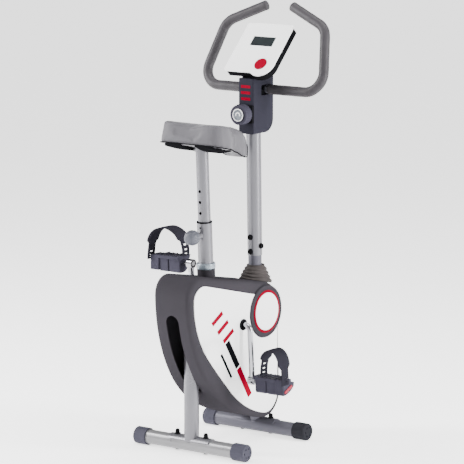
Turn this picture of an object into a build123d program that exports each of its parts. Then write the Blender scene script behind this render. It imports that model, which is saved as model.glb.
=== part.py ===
from build123d import *
from math import asin, cos, degrees, radians, sin, sqrt, tan
import os

os.makedirs("parts", exist_ok=True)

# ---------------------------------------------------------------------------
# Driving dimensions, in millimetres.
# X points to the rider's right, Y forwards, Z up. Z = 0 is the floor.
# Lengths along Y are counted from the crank axle, which stands at CRANK_Y.
# ---------------------------------------------------------------------------
CRANK_Y = -31.7
CRANK_Z = 375.0
CRANK_LENGTH = 165.0
CRANK_BAR_R = 8.5
CRANK_ARM_X = 106.0
PEDAL_EYE_X = 115.0
EYE_HALF = 9.0

REAR_FOOT_Y = CRANK_Y - 149.0
FRONT_FOOT_Y = CRANK_Y + 181.0
REAR_TUBE_LENGTH = 402.0
FRONT_TUBE_LENGTH = 376.0
FOOT_TUBE_R = 22.0
FOOT_WALL = 1.8
CAP_R = 26.0
CAP_LENGTH = 45.0
CAP_GRIP = 40.0
FOOT_Z = CAP_R
SADDLE_PLATE_LENGTH = 150.0
SADDLE_PLATE_THICK = 3.5
FOOT_BOLT_X = 53.0
FOOT_BOLT_R = 4.0

UPRIGHT_R = 22.5
TUBE_WALL = 2.0
BEAM_BOTTOM = CRANK_Z + 22.0
BEAM_SIZE = 40.0
BEAM_TOP = BEAM_BOTTOM + BEAM_SIZE
SHELL_R = 24.0
SHELL_HALF = 37.0

MAST_LEAN = 1.2
STUB_R = 20.5
STUB_TOP = 640.0
MAST_R = 22.5
MAST_BOTTOM = 556.0
MAST_TOP = 1010.0

SEAT_LEAN = 3.04
SLEEVE_R = 22.5
SLEEVE_BOTTOM = 340.0
SLEEVE_TOP = 689.0
POST_R = 19.05
POST_BOTTOM = 520.0
POST_TOP = 905.0
HOLE_PITCH = 33.0
LOCK_HOLE_Z = 654.0
LOCK_HOLE_COUNT = 5
LOCK_PIN_R = 4.5
LOCK_PIN_LENGTH = 35.0
LOCK_BOSS = 23.0

FLYWHEEL_Y = 25.0
FLYWHEEL_Z = 205.0
FLYWHEEL_R = 90.0
PULLEY_R = 85.0
SMALL_PULLEY_R = 18.0
PULLEY_X = 44.0
PULLEY_WIDTH = 11.0
BELT_THICK = 2.4
RUNNING_GAP = 0.05
FREE_GAP = 0.3

SHROUD_WALL = 3.0
SHROUD_CORNER_R = 16.0
PANEL_THICK = 2.5
BOSS_Y = 115.0
BOSS_Z = 398.0
BOSS_R = 80.0
BOSS_FACE_X = 84.0
RING_R = 65.0
DISC_R = 57.5

HEAD_HALF = 28.5
HEAD_BACK = 123.0
HEAD_FRONT = 227.0
HEAD_BOTTOM = 931.0
HEAD_TOP = 1098.0
BAR_Y = 201.0
BAR_Z = 1061.0
BAR_R = 13.5
GRIP_R = 15.5
BAR_TILT = 21.4

CONSOLE_TILT = 46.0
CONSOLE_TOP_Y = 254.0
CONSOLE_TOP_Z = 1253.0
FACE_THICK = 5.0
CONSOLE_THICK = 28.0
CONSOLE_INSET = 2.0

PEDAL_INNER_X = 139.0
PEDAL_OUTER_X = 220.0
SIDES = (("left", -1), ("right", 1))


# ---------------------------------------------------------------------------
# Shared planes and small helpers.
# ---------------------------------------------------------------------------
def side_plane(x=0.0):
    """Sketch plane facing +X with the crank axle's foot as its origin: (forward, up)."""
    return Plane(origin=(x, CRANK_Y, 0), x_dir=(0, 1, 0), z_dir=(1, 0, 0))


def axis_plane(x, y, z, direction):
    """Sketch plane whose normal is the given direction; y counts from the crank axle."""
    return Plane(origin=(x, CRANK_Y + y, z), z_dir=direction)


def leaning_plane(y_at_floor, lean):
    """Plane on the floor whose normal leans back from the vertical."""
    tilt = radians(lean)
    return Plane(
        origin=(0, CRANK_Y + y_at_floor, 0), x_dir=(1, 0, 0), z_dir=(0, -sin(tilt), cos(tilt))
    )


MAST_FLOOR_Y = 181.5
SEAT_FLOOR_Y = -47.7
MAST_AXIS = leaning_plane(MAST_FLOOR_Y, MAST_LEAN)
SEAT_AXIS = leaning_plane(SEAT_FLOOR_Y, SEAT_LEAN)


def mast_bolt_plane(z, direction):
    """Plane on the mast's axis at height z, facing along a mast bolt."""
    return axis_plane(0, MAST_FLOOR_Y - z * tan(radians(MAST_LEAN)), z, direction)


MAST_BOLT_R = 4.0
MAST_BOLTS = (
    mast_bolt_plane(612, (0, -1, 0)),
    mast_bolt_plane(568, (0, -1, 0)),
    mast_bolt_plane(585, (1, 0, 0)),
)


def add_round(plane, length, radius, mode=Mode.ADD):
    with BuildSketch(plane) as profile:
        Circle(radius)
    extrude(profile.sketch, amount=length, mode=mode)


def add_tube(plane, length, outer, inner):
    with BuildSketch(plane) as profile:
        Circle(outer)
        Circle(inner, mode=Mode.SUBTRACT)
    extrude(profile.sketch, amount=length)


def cut_round(plane, length, radius):
    add_round(plane, length, radius, Mode.SUBTRACT)


def cut_along_x(y, z, radius, half_length):
    cut_round(axis_plane(-half_length, y, z, (1, 0, 0)), 2 * half_length, radius)


def write(piece, name):
    piece.part.label = name
    export_step(piece.part, f"parts/{name}.step")


def mirrored_pair(right_piece, name):
    """Write the right-hand piece and its mirror image."""
    write(right_piece, f"{name}_right")
    with BuildPart() as left_piece:
        mirror(right_piece.part, about=Plane.YZ)
    write(left_piece, f"{name}_left")


def both_sides(right_piece, name):
    """Write the right-hand piece and its mirror image as two solids of one piece."""
    with BuildPart() as pair:
        add(right_piece.part)
        mirror(right_piece.part, about=Plane.YZ)
    write(pair, name)


# ---------------------------------------------------------------------------
# Floor stabilisers: two cross tubes with faceted caps, bolted to saddle plates.
# ---------------------------------------------------------------------------
FEET = (
    ("rear", REAR_FOOT_Y - CRANK_Y, REAR_TUBE_LENGTH),
    ("front", FRONT_FOOT_Y - CRANK_Y, FRONT_TUBE_LENGTH),
)

for foot, foot_y, tube_length in FEET:
    with BuildPart() as foot_tube:
        add_tube(
            axis_plane(-tube_length / 2, foot_y, FOOT_Z, (1, 0, 0)),
            tube_length,
            FOOT_TUBE_R,
            FOOT_TUBE_R - FOOT_WALL,
        )
        for bolt_x in (-FOOT_BOLT_X, FOOT_BOLT_X):
            cut_round(axis_plane(bolt_x, foot_y, 0, (0, 0, 1)), 2 * CAP_R, FOOT_BOLT_R)
    write(foot_tube, f"{foot}_foot_tube")

    with BuildPart() as foot_cap:
        cap_start = tube_length / 2 - CAP_GRIP
        cap_plane = Plane(
            origin=(cap_start, CRANK_Y + foot_y, FOOT_Z), x_dir=(0, 1, 0), z_dir=(1, 0, 0)
        )
        with BuildSketch(cap_plane):
            RegularPolygon(CAP_R, 16, major_radius=False, rotation=11.25)
        extrude(amount=CAP_LENGTH)
        outer_face = foot_cap.faces().sort_by(Axis.X)[-1]
        chamfer(outer_face.edges(), 3.0)
        with BuildSketch(cap_plane.offset(CAP_LENGTH)):
            with PolarLocations(CAP_R * 0.55, 6):
                Circle(3.5)
        extrude(amount=-2.0, mode=Mode.SUBTRACT)
        cut_round(cap_plane, CAP_GRIP, FOOT_TUBE_R)
    mirrored_pair(foot_cap, f"{foot}_cap")

with BuildPart() as foot_bolts:
    for foot, foot_y, tube_length in FEET:
        for bolt_x in (-FOOT_BOLT_X, FOOT_BOLT_X):
            bolt_axis = axis_plane(bolt_x, foot_y, 0, (0, 0, 1))
            underside = FOOT_Z - FOOT_TUBE_R
            plate_top = FOOT_Z + FOOT_TUBE_R + SADDLE_PLATE_THICK
            add_round(bolt_axis.offset(underside), plate_top + 8 - underside, FOOT_BOLT_R)
            add_round(bolt_axis.offset(underside - 1.2), 1.2, 7.0)
            add_round(bolt_axis.offset(plate_top), 1.6, 9.5)
            with BuildSketch(bolt_axis.offset(plate_top + 1.6)):
                RegularPolygon(7.5, 6)
            extrude(amount=7.0)
            add_round(bolt_axis.offset(plate_top + 8.6), 6.0, 6.0)
            dome_rim = foot_bolts.edges().filter_by(GeomType.CIRCLE).group_by(Axis.Z)[-1]
            fillet([edge for edge in dome_rim if abs(edge.arc_center.X - bolt_x) < 1], 4.0)
write(foot_bolts, "foot_bolts")


def add_saddle_plate(foot_y):
    """Curved plate that wraps the top of a foot tube."""
    with BuildSketch(side_plane(-SADDLE_PLATE_LENGTH / 2)) as profile:
        with Locations((foot_y, FOOT_Z)):
            Circle(FOOT_TUBE_R + SADDLE_PLATE_THICK)
            Circle(FOOT_TUBE_R, mode=Mode.SUBTRACT)
        with Locations((foot_y, FOOT_Z - 40 + FOOT_TUBE_R * 0.6)):
            Rectangle(80, 80, mode=Mode.SUBTRACT)
    extrude(profile.sketch, amount=SADDLE_PLATE_LENGTH)
    for bolt_x in (-FOOT_BOLT_X, FOOT_BOLT_X):
        cut_round(axis_plane(bolt_x, foot_y, 0, (0, 0, 1)), 2 * CAP_R + 10, FOOT_BOLT_R)


# ---------------------------------------------------------------------------
# Welded frame inside the shroud.
# ---------------------------------------------------------------------------
rear_y = REAR_FOOT_Y - CRANK_Y
front_y = FRONT_FOOT_Y - CRANK_Y

with BuildPart() as rear_upright:
    add_tube(
        axis_plane(0, rear_y, FOOT_Z + 10, (0, 0, 1)),
        BEAM_TOP + 8 - FOOT_Z - 10,
        UPRIGHT_R,
        UPRIGHT_R - TUBE_WALL,
    )
    cut_along_x(rear_y, FOOT_Z, FOOT_TUBE_R, 60)
    add_saddle_plate(rear_y)
write(rear_upright, "rear_upright")

with BuildPart() as front_upright:
    add_tube(MAST_AXIS.offset(FOOT_Z + 10), STUB_TOP - FOOT_Z - 10, STUB_R, STUB_R - TUBE_WALL)
    cut_along_x(front_y, FOOT_Z, FOOT_TUBE_R, 60)
    add_saddle_plate(front_y)
    for bolt_plane in MAST_BOLTS:
        cut_round(bolt_plane, 40, MAST_BOLT_R)
    cut_round(axis_plane(0, 172.0, 480, (0, -1, 0)), 40, 7.0)
write(front_upright, "front_upright")

with BuildPart() as seat_tube:
    add_tube(
        SEAT_AXIS.offset(SLEEVE_BOTTOM), SLEEVE_TOP - SLEEVE_BOTTOM, SLEEVE_R, SLEEVE_R - TUBE_WALL
    )
    lock_plane = Plane(
        origin=(SEAT_AXIS * Pos(0, 0, LOCK_HOLE_Z)).position,
        x_dir=(1, 0, 0),
        z_dir=-SEAT_AXIS.y_dir,
    )
    add_round(lock_plane.offset(SLEEVE_R - 1), LOCK_BOSS, 10)
    cut_round(lock_plane.offset(SLEEVE_R - 1), LOCK_BOSS, LOCK_PIN_R + RUNNING_GAP)
    cut_round(lock_plane, SLEEVE_R - 1, LOCK_PIN_R + FREE_GAP)
    cut_round(lock_plane * Pos(0, 22, 0), 40, 3.2)
    cut_round(SEAT_AXIS.offset(SLEEVE_BOTTOM), SLEEVE_TOP - SLEEVE_BOTTOM, SLEEVE_R - TUBE_WALL)
write(seat_tube, "seat_tube")

with BuildPart() as main_beam:
    with BuildSketch(axis_plane(0, rear_y, BEAM_BOTTOM + BEAM_SIZE / 2, (0, 1, 0))):
        Rectangle(BEAM_SIZE, BEAM_SIZE)
        Rectangle(BEAM_SIZE - 2 * TUBE_WALL, BEAM_SIZE - 2 * TUBE_WALL, mode=Mode.SUBTRACT)
    extrude(amount=MAST_FLOOR_Y - BEAM_TOP * sin(radians(MAST_LEAN)) - rear_y)
    add_round(axis_plane(-SHELL_HALF, 0, CRANK_Z, (1, 0, 0)), 2 * SHELL_HALF, SHELL_R)
    cut_along_x(0, CRANK_Z, SHELL_R - 4, SHELL_HALF + 1)
    cut_round(axis_plane(0, rear_y, 300, (0, 0, 1)), 200, UPRIGHT_R)
    cut_round(MAST_AXIS.offset(300), 200, STUB_R)
    cut_round(SEAT_AXIS.offset(300), 200, SLEEVE_R)
write(main_beam, "main_beam")

with BuildPart() as crank_bearings:
    for start in (-SHELL_HALF, SHELL_HALF - 12):
        add_tube(
            axis_plane(start, 0, CRANK_Z, (1, 0, 0)), 12, SHELL_R - 4, CRANK_BAR_R + RUNNING_GAP
        )
write(crank_bearings, "crank_bearings")

# Fork plates carry the flywheel between the crank shell and the front upright.
FORK_THICK = 6.0
FORK_BEARING_R = 16.0
PIVOT_Y = 118.0
PIVOT_Z = 312.0

with BuildPart() as flywheel_fork:
    for start in (STUB_R, -STUB_R - FORK_THICK):
        with BuildSketch(side_plane(start)):
            with BuildLine():
                Polyline(
                    (FLYWHEEL_Y, FLYWHEEL_Z + 22),
                    (PIVOT_Y - 12, PIVOT_Z + 10),
                    (182, PIVOT_Z + 10),
                    (184, FLYWHEEL_Z - 22),
                    (FLYWHEEL_Y, FLYWHEEL_Z - 22),
                    close=True,
                )
            make_face()
            with Locations((FLYWHEEL_Y, FLYWHEEL_Z)):
                Circle(22)
                Circle(FORK_BEARING_R, mode=Mode.SUBTRACT)
            with Locations((PIVOT_Y, PIVOT_Z)):
                Circle(4.0, mode=Mode.SUBTRACT)
            with Locations((125, FLYWHEEL_Z + 40)):
                Circle(20, mode=Mode.SUBTRACT)
        extrude(amount=FORK_THICK)
write(flywheel_fork, "flywheel_fork")

with BuildPart() as flywheel_bearings:
    for start in (STUB_R, -STUB_R - FORK_THICK):
        add_tube(
            axis_plane(start, FLYWHEEL_Y, FLYWHEEL_Z, (1, 0, 0)),
            FORK_THICK,
            FORK_BEARING_R,
            8 + RUNNING_GAP,
        )
write(flywheel_bearings, "flywheel_bearings")

# ---------------------------------------------------------------------------
# Drive: one-piece crank, large pulley, belt and flywheel.
# ---------------------------------------------------------------------------
with BuildPart() as crank:
    with BuildLine(Plane(origin=(0, CRANK_Y, CRANK_Z), x_dir=(1, 0, 0), z_dir=(0, -1, 0))) as bar:
        FilletPolyline(
            (-PEDAL_EYE_X, CRANK_LENGTH),
            (-CRANK_ARM_X, 0),
            (CRANK_ARM_X, 0),
            (PEDAL_EYE_X, -CRANK_LENGTH),
            radius=19,
        )
    with BuildSketch(Plane(origin=bar.line @ 0, z_dir=bar.line % 0)):
        Circle(CRANK_BAR_R)
    sweep()
    for side, sign in SIDES:
        eye_z = CRANK_Z - sign * CRANK_LENGTH
        eye_plane = axis_plane(sign * PEDAL_EYE_X - EYE_HALF, 0, eye_z, (1, 0, 0))
        add_round(eye_plane, 2 * EYE_HALF, 14)
        cut_round(eye_plane, 2 * EYE_HALF, 7)
write(crank, "crank")

with BuildPart() as pedal_spindles:
    for side, sign in SIDES:
        eye_z = CRANK_Z - sign * CRANK_LENGTH
        outward = (sign, 0, 0)
        eye_start = axis_plane(sign * (PEDAL_EYE_X - EYE_HALF), 0, eye_z, outward)
        add_round(eye_start, 2 * EYE_HALF, 7)
        with BuildSketch(eye_start.offset(2 * EYE_HALF)):
            RegularPolygon(10, 6)
        extrude(amount=4)
        add_round(eye_start.offset(2 * EYE_HALF + 4), 86, 5.5)
write(pedal_spindles, "pedal_spindles")

with BuildPart() as drive_pulley:
    pulley_start = PULLEY_X - PULLEY_WIDTH / 2
    add_round(axis_plane(pulley_start, 0, CRANK_Z, (1, 0, 0)), PULLEY_WIDTH, PULLEY_R)
    for face_x, direction in ((pulley_start, (1, 0, 0)), (pulley_start + PULLEY_WIDTH, (-1, 0, 0))):
        with BuildSketch(axis_plane(face_x, 0, CRANK_Z, direction)):
            Circle(PULLEY_R - 9)
            Circle(20, mode=Mode.SUBTRACT)
        extrude(amount=3.5, mode=Mode.SUBTRACT)
    with BuildSketch(axis_plane(pulley_start, 0, CRANK_Z, (1, 0, 0))):
        with PolarLocations(49, 6):
            Circle(16)
    extrude(amount=PULLEY_WIDTH, mode=Mode.SUBTRACT)
    cut_along_x(0, CRANK_Z, CRANK_BAR_R, 60)
write(drive_pulley, "drive_pulley")

with BuildPart() as flywheel:
    add_round(axis_plane(-12, FLYWHEEL_Y, FLYWHEEL_Z, (1, 0, 0)), 24, FLYWHEEL_R)
    for face_x, direction in ((-12, (1, 0, 0)), (12, (-1, 0, 0))):
        with BuildSketch(axis_plane(face_x, FLYWHEEL_Y, FLYWHEEL_Z, direction)):
            Circle(FLYWHEEL_R - 20)
            Circle(24, mode=Mode.SUBTRACT)
        extrude(amount=7, mode=Mode.SUBTRACT)
    cut_along_x(FLYWHEEL_Y, FLYWHEEL_Z, 8, 20)
write(flywheel, "flywheel")

with BuildPart() as flywheel_shaft:
    add_round(axis_plane(-32, FLYWHEEL_Y, FLYWHEEL_Z, (1, 0, 0)), 86, 8)
    chamfer(flywheel_shaft.edges().filter_by(GeomType.CIRCLE), 1.0)
write(flywheel_shaft, "flywheel_shaft")

with BuildPart() as flywheel_pulley:
    add_tube(
        axis_plane(pulley_start, FLYWHEEL_Y, FLYWHEEL_Z, (1, 0, 0)),
        PULLEY_WIDTH,
        SMALL_PULLEY_R,
        8,
    )
write(flywheel_pulley, "flywheel_pulley")


def belt_loop(extra, mode):
    """Filled outline round both pulleys, standing off them by the given amount."""
    big = PULLEY_R + extra
    small = SMALL_PULLEY_R + extra
    run_y = FLYWHEEL_Y
    run_z = FLYWHEEL_Z - CRANK_Z
    spacing = sqrt(run_y**2 + run_z**2)
    along = (run_y / spacing, run_z / spacing)
    across = (-along[1], along[0])
    lead = (big - small) / spacing
    side = sqrt(1 - lead**2)
    corners = []
    for centre, radius, sign in (
        ((0, CRANK_Z), big, 1),
        ((FLYWHEEL_Y, FLYWHEEL_Z), small, 1),
        ((FLYWHEEL_Y, FLYWHEEL_Z), small, -1),
        ((0, CRANK_Z), big, -1),
    ):
        y = centre[0] + radius * (lead * along[0] + sign * side * across[0])
        z = centre[1] + radius * (lead * along[1] + sign * side * across[1])
        corners.append((y, z))
    with BuildLine() as run:
        Polyline(*corners, close=True)
    make_face(run.edges(), mode=mode)
    with Locations((0, CRANK_Z)):
        Circle(big, mode=mode)
    with Locations((FLYWHEEL_Y, FLYWHEEL_Z)):
        Circle(small, mode=mode)


with BuildPart() as drive_belt:
    with BuildSketch(side_plane(PULLEY_X - 4)):
        belt_loop(FREE_GAP + BELT_THICK, Mode.ADD)
        belt_loop(FREE_GAP, Mode.SUBTRACT)
    extrude(amount=8)
write(drive_belt, "drive_belt")

# ---------------------------------------------------------------------------
# Magnetic brake: a hinged shoe over the flywheel, pulled by the tension cable.
# ---------------------------------------------------------------------------
SHOE_GAP = 9.0
shoe_r = FLYWHEEL_R + SHOE_GAP

with BuildPart() as brake_pivot_pin:
    add_round(axis_plane(-STUB_R - FORK_THICK, PIVOT_Y, PIVOT_Z, (1, 0, 0)), 2 * STUB_R + 12, 4.0)
write(brake_pivot_pin, "brake_pivot_pin")

with BuildPart() as magnet_shoe:
    with BuildSketch(side_plane(-14)):
        with BuildLine():
            CenterArc((FLYWHEEL_Y, FLYWHEEL_Z), shoe_r + 6, 62, 62)
            CenterArc((FLYWHEEL_Y, FLYWHEEL_Z), shoe_r + 9, 62, 62)
            Line(
                (
                    FLYWHEEL_Y + (shoe_r + 6) * cos(radians(62)),
                    FLYWHEEL_Z + (shoe_r + 6) * sin(radians(62)),
                ),
                (
                    FLYWHEEL_Y + (shoe_r + 9) * cos(radians(62)),
                    FLYWHEEL_Z + (shoe_r + 9) * sin(radians(62)),
                ),
            )
            Line(
                (
                    FLYWHEEL_Y + (shoe_r + 6) * cos(radians(124)),
                    FLYWHEEL_Z + (shoe_r + 6) * sin(radians(124)),
                ),
                (
                    FLYWHEEL_Y + (shoe_r + 9) * cos(radians(124)),
                    FLYWHEEL_Z + (shoe_r + 9) * sin(radians(124)),
                ),
            )
        make_face()
    extrude(amount=28)
    for start in (-14, 11):
        with BuildSketch(side_plane(start)):
            with BuildLine():
                Polyline(
                    (FLYWHEEL_Y + 20, FLYWHEEL_Z + shoe_r + 5),
                    (PIVOT_Y, PIVOT_Z + 9),
                    (PIVOT_Y + 9, PIVOT_Z),
                    (PIVOT_Y, PIVOT_Z - 9),
                    (FLYWHEEL_Y + 51, FLYWHEEL_Z + shoe_r - 6),
                    close=True,
                )
            make_face()
        extrude(amount=3)
    cut_along_x(PIVOT_Y, PIVOT_Z, 4.0 + RUNNING_GAP, 20)
write(magnet_shoe, "magnet_shoe")

with BuildPart() as brake_magnets:
    for angle in (70, 86, 102, 118):
        spot = axis_plane(
            -10,
            FLYWHEEL_Y + (shoe_r + 3) * cos(radians(angle)),
            FLYWHEEL_Z + (shoe_r + 3) * sin(radians(angle)),
            (1, 0, 0),
        )
        seat_plane = Plane(
            origin=spot.origin,
            x_dir=(0, -sin(radians(angle)), cos(radians(angle))),
            z_dir=(1, 0, 0),
        )
        with BuildSketch(seat_plane):
            Rectangle(18, 5)
        extrude(amount=20)
write(brake_magnets, "brake_magnets")

# ---------------------------------------------------------------------------
# Shroud: two mirrored shells over the frame, crowned towards the sides.
# ---------------------------------------------------------------------------
CROWN_POINTS = ((64.0, -265.0), (78.0, -10.0), (69.0, 215.0))
OUTLINE_Y = 118.0
OUTLINE_Z = 397.0
OUTLINE_R = 88.0
TOP_SLOPE = degrees(asin(0.184))
NOTCH_Y = 202.0
NOTCH_R = 14.0


def shroud_outline(inset):
    """Closed side outline of the shroud, pulled in by inset: (forward, up)."""
    radius = OUTLINE_R - inset
    direction = Vector(-cos(radians(TOP_SLOPE)), sin(radians(TOP_SLOPE)))
    boss_centre = Vector(OUTLINE_Y, OUTLINE_Z)
    top_front = boss_centre + radius * Vector(direction.Y, -direction.X)
    start = boss_centre + OUTLINE_R * Vector(direction.Y, -direction.X)
    start += direction * ((start.X + 182.0) / cos(radians(TOP_SLOPE)))
    notch_y = NOTCH_Y - inset
    notch = Vector(notch_y, OUTLINE_Z - sqrt(radius**2 - (notch_y - OUTLINE_Y) ** 2))
    last_end = start + inset * Vector(-direction.Y, direction.X)
    Line(top_front, last_end)
    for joint in ((-248.5, 487.5), (-174, 240), (-32, 116), (118, 66), (210, 148)):
        nominal = TangentArc(start, joint, tangent=direction, mode=Mode.PRIVATE)
        start = Vector(*joint)
        end_direction = nominal % 1
        end = start + inset * Vector(-end_direction.Y, end_direction.X)
        TangentArc(last_end, end, tangent=direction)
        last_end = end
        direction = end_direction
    TangentArc(last_end, notch, tangent=direction)
    ThreePointArc(notch, (OUTLINE_Y + radius, OUTLINE_Z), top_front)


def plan_band(inset):
    """Plan outline between the two crowned sides, pulled in by inset."""
    side = [(x - inset, y) for x, y in CROWN_POINTS]
    with BuildLine() as outline:
        right = ThreePointArc(*side)
        left = ThreePointArc(*[(-x, y) for x, y in side])
        Line(right @ 0, left @ 0)
        Line(right @ 1, left @ 1)
    make_face(outline.edges())


def shroud_body(inset, corner):
    """Solid body of the shroud, pulled in by inset all round."""
    with BuildSketch(side_plane(-100)) as side_profile:
        with BuildLine():
            shroud_outline(inset)
        make_face()
        notch_corner = [v for v in vertices() if v.X > 190 and 300 < v.Y < 390]
        fillet(notch_corner, NOTCH_R + inset)
    extrude(side_profile.sketch, amount=200)
    with BuildSketch(Plane(origin=(0, CRANK_Y, 0))) as plan_profile:
        plan_band(inset)
    extrude(plan_profile.sketch, amount=700, mode=Mode.INTERSECT)
    sides = faces().sort_by(Axis.X)
    fillet(sides[0].edges() + sides[-1].edges(), corner)


with BuildPart() as shroud_cavity:
    shroud_body(SHROUD_WALL, SHROUD_CORNER_R - SHROUD_WALL)

with BuildPart() as shroud:
    shroud_body(0, SHROUD_CORNER_R)
    add_round(SEAT_AXIS.offset(500), 49, 27)
    for sign in (-1, 1):
        add_round(axis_plane(sign * 60, BOSS_Y, BOSS_Z, (sign, 0, 0)), BOSS_FACE_X - 60, BOSS_R)
    boss_rims = [
        edge
        for edge in shroud.edges().filter_by(GeomType.CIRCLE)
        if abs(abs(edge.arc_center.X) - BOSS_FACE_X) < 0.1
    ]
    fillet(boss_rims, 3.5)
    add(shroud_cavity.part, mode=Mode.SUBTRACT)
    cut_round(SEAT_AXIS.offset(400), 200, SLEEVE_R + 0.5)
    cut_round(MAST_AXIS.offset(40), 600, STUB_R + 1.5)
    cut_along_x(0, CRANK_Z, 14, 120)
    with BuildSketch(Plane(origin=(0, CRANK_Y - 290, 0), x_dir=(1, 0, 0), z_dir=(0, 1, 0))):
        with Locations((0, -298)):
            SlotOverall(266, 47, rotation=90)
    extrude(amount=166, mode=Mode.SUBTRACT)
    split(bisect_by=Plane.YZ, keep=Keep.TOP)
mirrored_pair(shroud, "shroud")


def crowned_strip(outer, inner):
    """Keep only what lies between two offsets of the crowned side, on +X."""
    with BuildSketch(Plane(origin=(0, CRANK_Y, 0))) as strip:
        with BuildLine():
            far = ThreePointArc(*[(x + outer, y) for x, y in CROWN_POINTS])
            near = ThreePointArc(*[(x + inner, y) for x, y in CROWN_POINTS])
            Line(far @ 0, near @ 0)
            Line(far @ 1, near @ 1)
        make_face()
    extrude(strip.sketch, amount=700, mode=Mode.INTERSECT)


with BuildPart() as panel:
    with BuildSketch(side_plane(40)):
        with BuildLine():
            edge = Line((60, 457.7), (-174, 516))
            panel_top = edge @ 0
            for joint in ((-226, 476), (-160, 290), (-60, 180), (110, 85), (185, 165)):
                edge = TangentArc(edge @ 1, joint, tangent=edge % 1)
            Polyline(edge @ 1, (185, 366), (60, 366), panel_top)
        make_face()
        with Locations((BOSS_Y, BOSS_Z)):
            Circle(BOSS_R + 1.0, mode=Mode.SUBTRACT)
        with Locations((0, CRANK_Z)):
            Circle(14, mode=Mode.SUBTRACT)
    extrude(amount=60)
    crowned_strip(PANEL_THICK, 0)
mirrored_pair(panel, "side_panel")

with BuildPart() as trim_ring:
    with BuildSketch(axis_plane(BOSS_FACE_X, BOSS_Y, BOSS_Z, (1, 0, 0))):
        Circle(RING_R)
        Circle(DISC_R, mode=Mode.SUBTRACT)
    extrude(amount=2)
    fillet(trim_ring.faces().sort_by(Axis.X)[-1].edges(), 0.9)
both_sides(trim_ring, "trim_rings")

with BuildPart() as disc_cover:
    add_round(axis_plane(BOSS_FACE_X, BOSS_Y, BOSS_Z, (1, 0, 0)), 3.0, DISC_R)
    fillet(disc_cover.faces().sort_by(Axis.X)[-1].edges(), 1.8)
both_sides(disc_cover, "disc_covers")

with BuildPart() as axle_ring:
    with BuildSketch(axis_plane(72, 0, CRANK_Z, (1, 0, 0))):
        Circle(14)
        Circle(CRANK_BAR_R + 1.0, mode=Mode.SUBTRACT)
    extrude(amount=10.6)
    with BuildSketch(axis_plane(80.6, 0, CRANK_Z, (1, 0, 0))):
        Circle(17)
        Circle(CRANK_BAR_R + 1.0, mode=Mode.SUBTRACT)
    extrude(amount=3.0)
both_sides(axle_ring, "axle_rings")

# ---------------------------------------------------------------------------
# Boot round the foot of the mast, and the steel collar on the seat tube neck.
# ---------------------------------------------------------------------------
BOOT_BASE_Y = 174.0
BOOT_TOP_Z = 526.0
BOOT_PLEATS = 4
PLEAT_DEPTH = 3.0


def boot_section(height_share, pleat_r):
    """Oval section of the boot: low and wide at its foot, round at its top."""
    rise = height_share
    centre_y = BOOT_BASE_Y + (170.6 - BOOT_BASE_Y) * rise
    tilt = radians(-11.5 * (1 - rise))
    plane = Plane(
        origin=(0, CRANK_Y + centre_y, 477 + (BOOT_TOP_Z - 477) * rise),
        x_dir=(1, 0, 0),
        z_dir=(0, -sin(tilt), cos(tilt)),
    )
    with BuildSketch(plane) as oval:
        Ellipse(50 - 24 * rise + pleat_r, 57 - 31 * rise + pleat_r)
    return oval.sketch.face()


with BuildPart() as mast_boot:
    for pleat in range(BOOT_PLEATS):
        lower = boot_section(pleat / BOOT_PLEATS, 0.0)
        crest = boot_section((pleat + 0.5) / BOOT_PLEATS, PLEAT_DEPTH)
        upper = boot_section((pleat + 1) / BOOT_PLEATS, 0.0)
        loft([lower, crest, upper], ruled=True)
    cut_round(MAST_AXIS.offset(440), 100, STUB_R)
    add(shroud.part, mode=Mode.SUBTRACT)
    add(mirror(shroud.part, about=Plane.YZ, mode=Mode.PRIVATE), mode=Mode.SUBTRACT)
write(mast_boot, "mast_boot")

with BuildPart() as neck_collar:
    with BuildSketch(SEAT_AXIS.offset(549)):
        Circle(28.5)
        Circle(SLEEVE_R, mode=Mode.SUBTRACT)
    extrude(amount=19)
    outer_rims = neck_collar.edges().filter_by(GeomType.CIRCLE).sort_by(SortBy.RADIUS)[-2:]
    fillet(outer_rims, 4.0)
write(neck_collar, "neck_collar")

# ---------------------------------------------------------------------------
# Seat: post, lock pin and knob, pan and cushion.
# ---------------------------------------------------------------------------
with BuildPart() as sleeve_bushing:
    add_tube(
        SEAT_AXIS.offset(SLEEVE_TOP - 60), 60, SLEEVE_R - TUBE_WALL, POST_R + RUNNING_GAP
    )
    add_tube(SEAT_AXIS.offset(SLEEVE_TOP), 4, SLEEVE_R + 0.8, POST_R + RUNNING_GAP)
    cut_round(lock_plane, 40, LOCK_PIN_R + FREE_GAP)
write(sleeve_bushing, "sleeve_bushing")

with BuildPart() as seat_post:
    add_tube(SEAT_AXIS.offset(POST_BOTTOM), POST_TOP - POST_BOTTOM, POST_R, POST_R - TUBE_WALL)
    for step in range(LOCK_HOLE_COUNT):
        hole_plane = Plane(
            origin=(SEAT_AXIS * Pos(0, 0, LOCK_HOLE_Z + step * HOLE_PITCH)).position,
            x_dir=(1, 0, 0),
            z_dir=-SEAT_AXIS.y_dir,
        )
        cut_round(hole_plane, 40, LOCK_PIN_R + FREE_GAP)
write(seat_post, "seat_post")

with BuildPart() as lock_pin:
    add_round(lock_plane.offset(POST_R + FREE_GAP), LOCK_PIN_LENGTH, LOCK_PIN_R)
    chamfer(lock_pin.edges().filter_by(GeomType.CIRCLE), 0.8)
write(lock_pin, "lock_pin")

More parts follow.
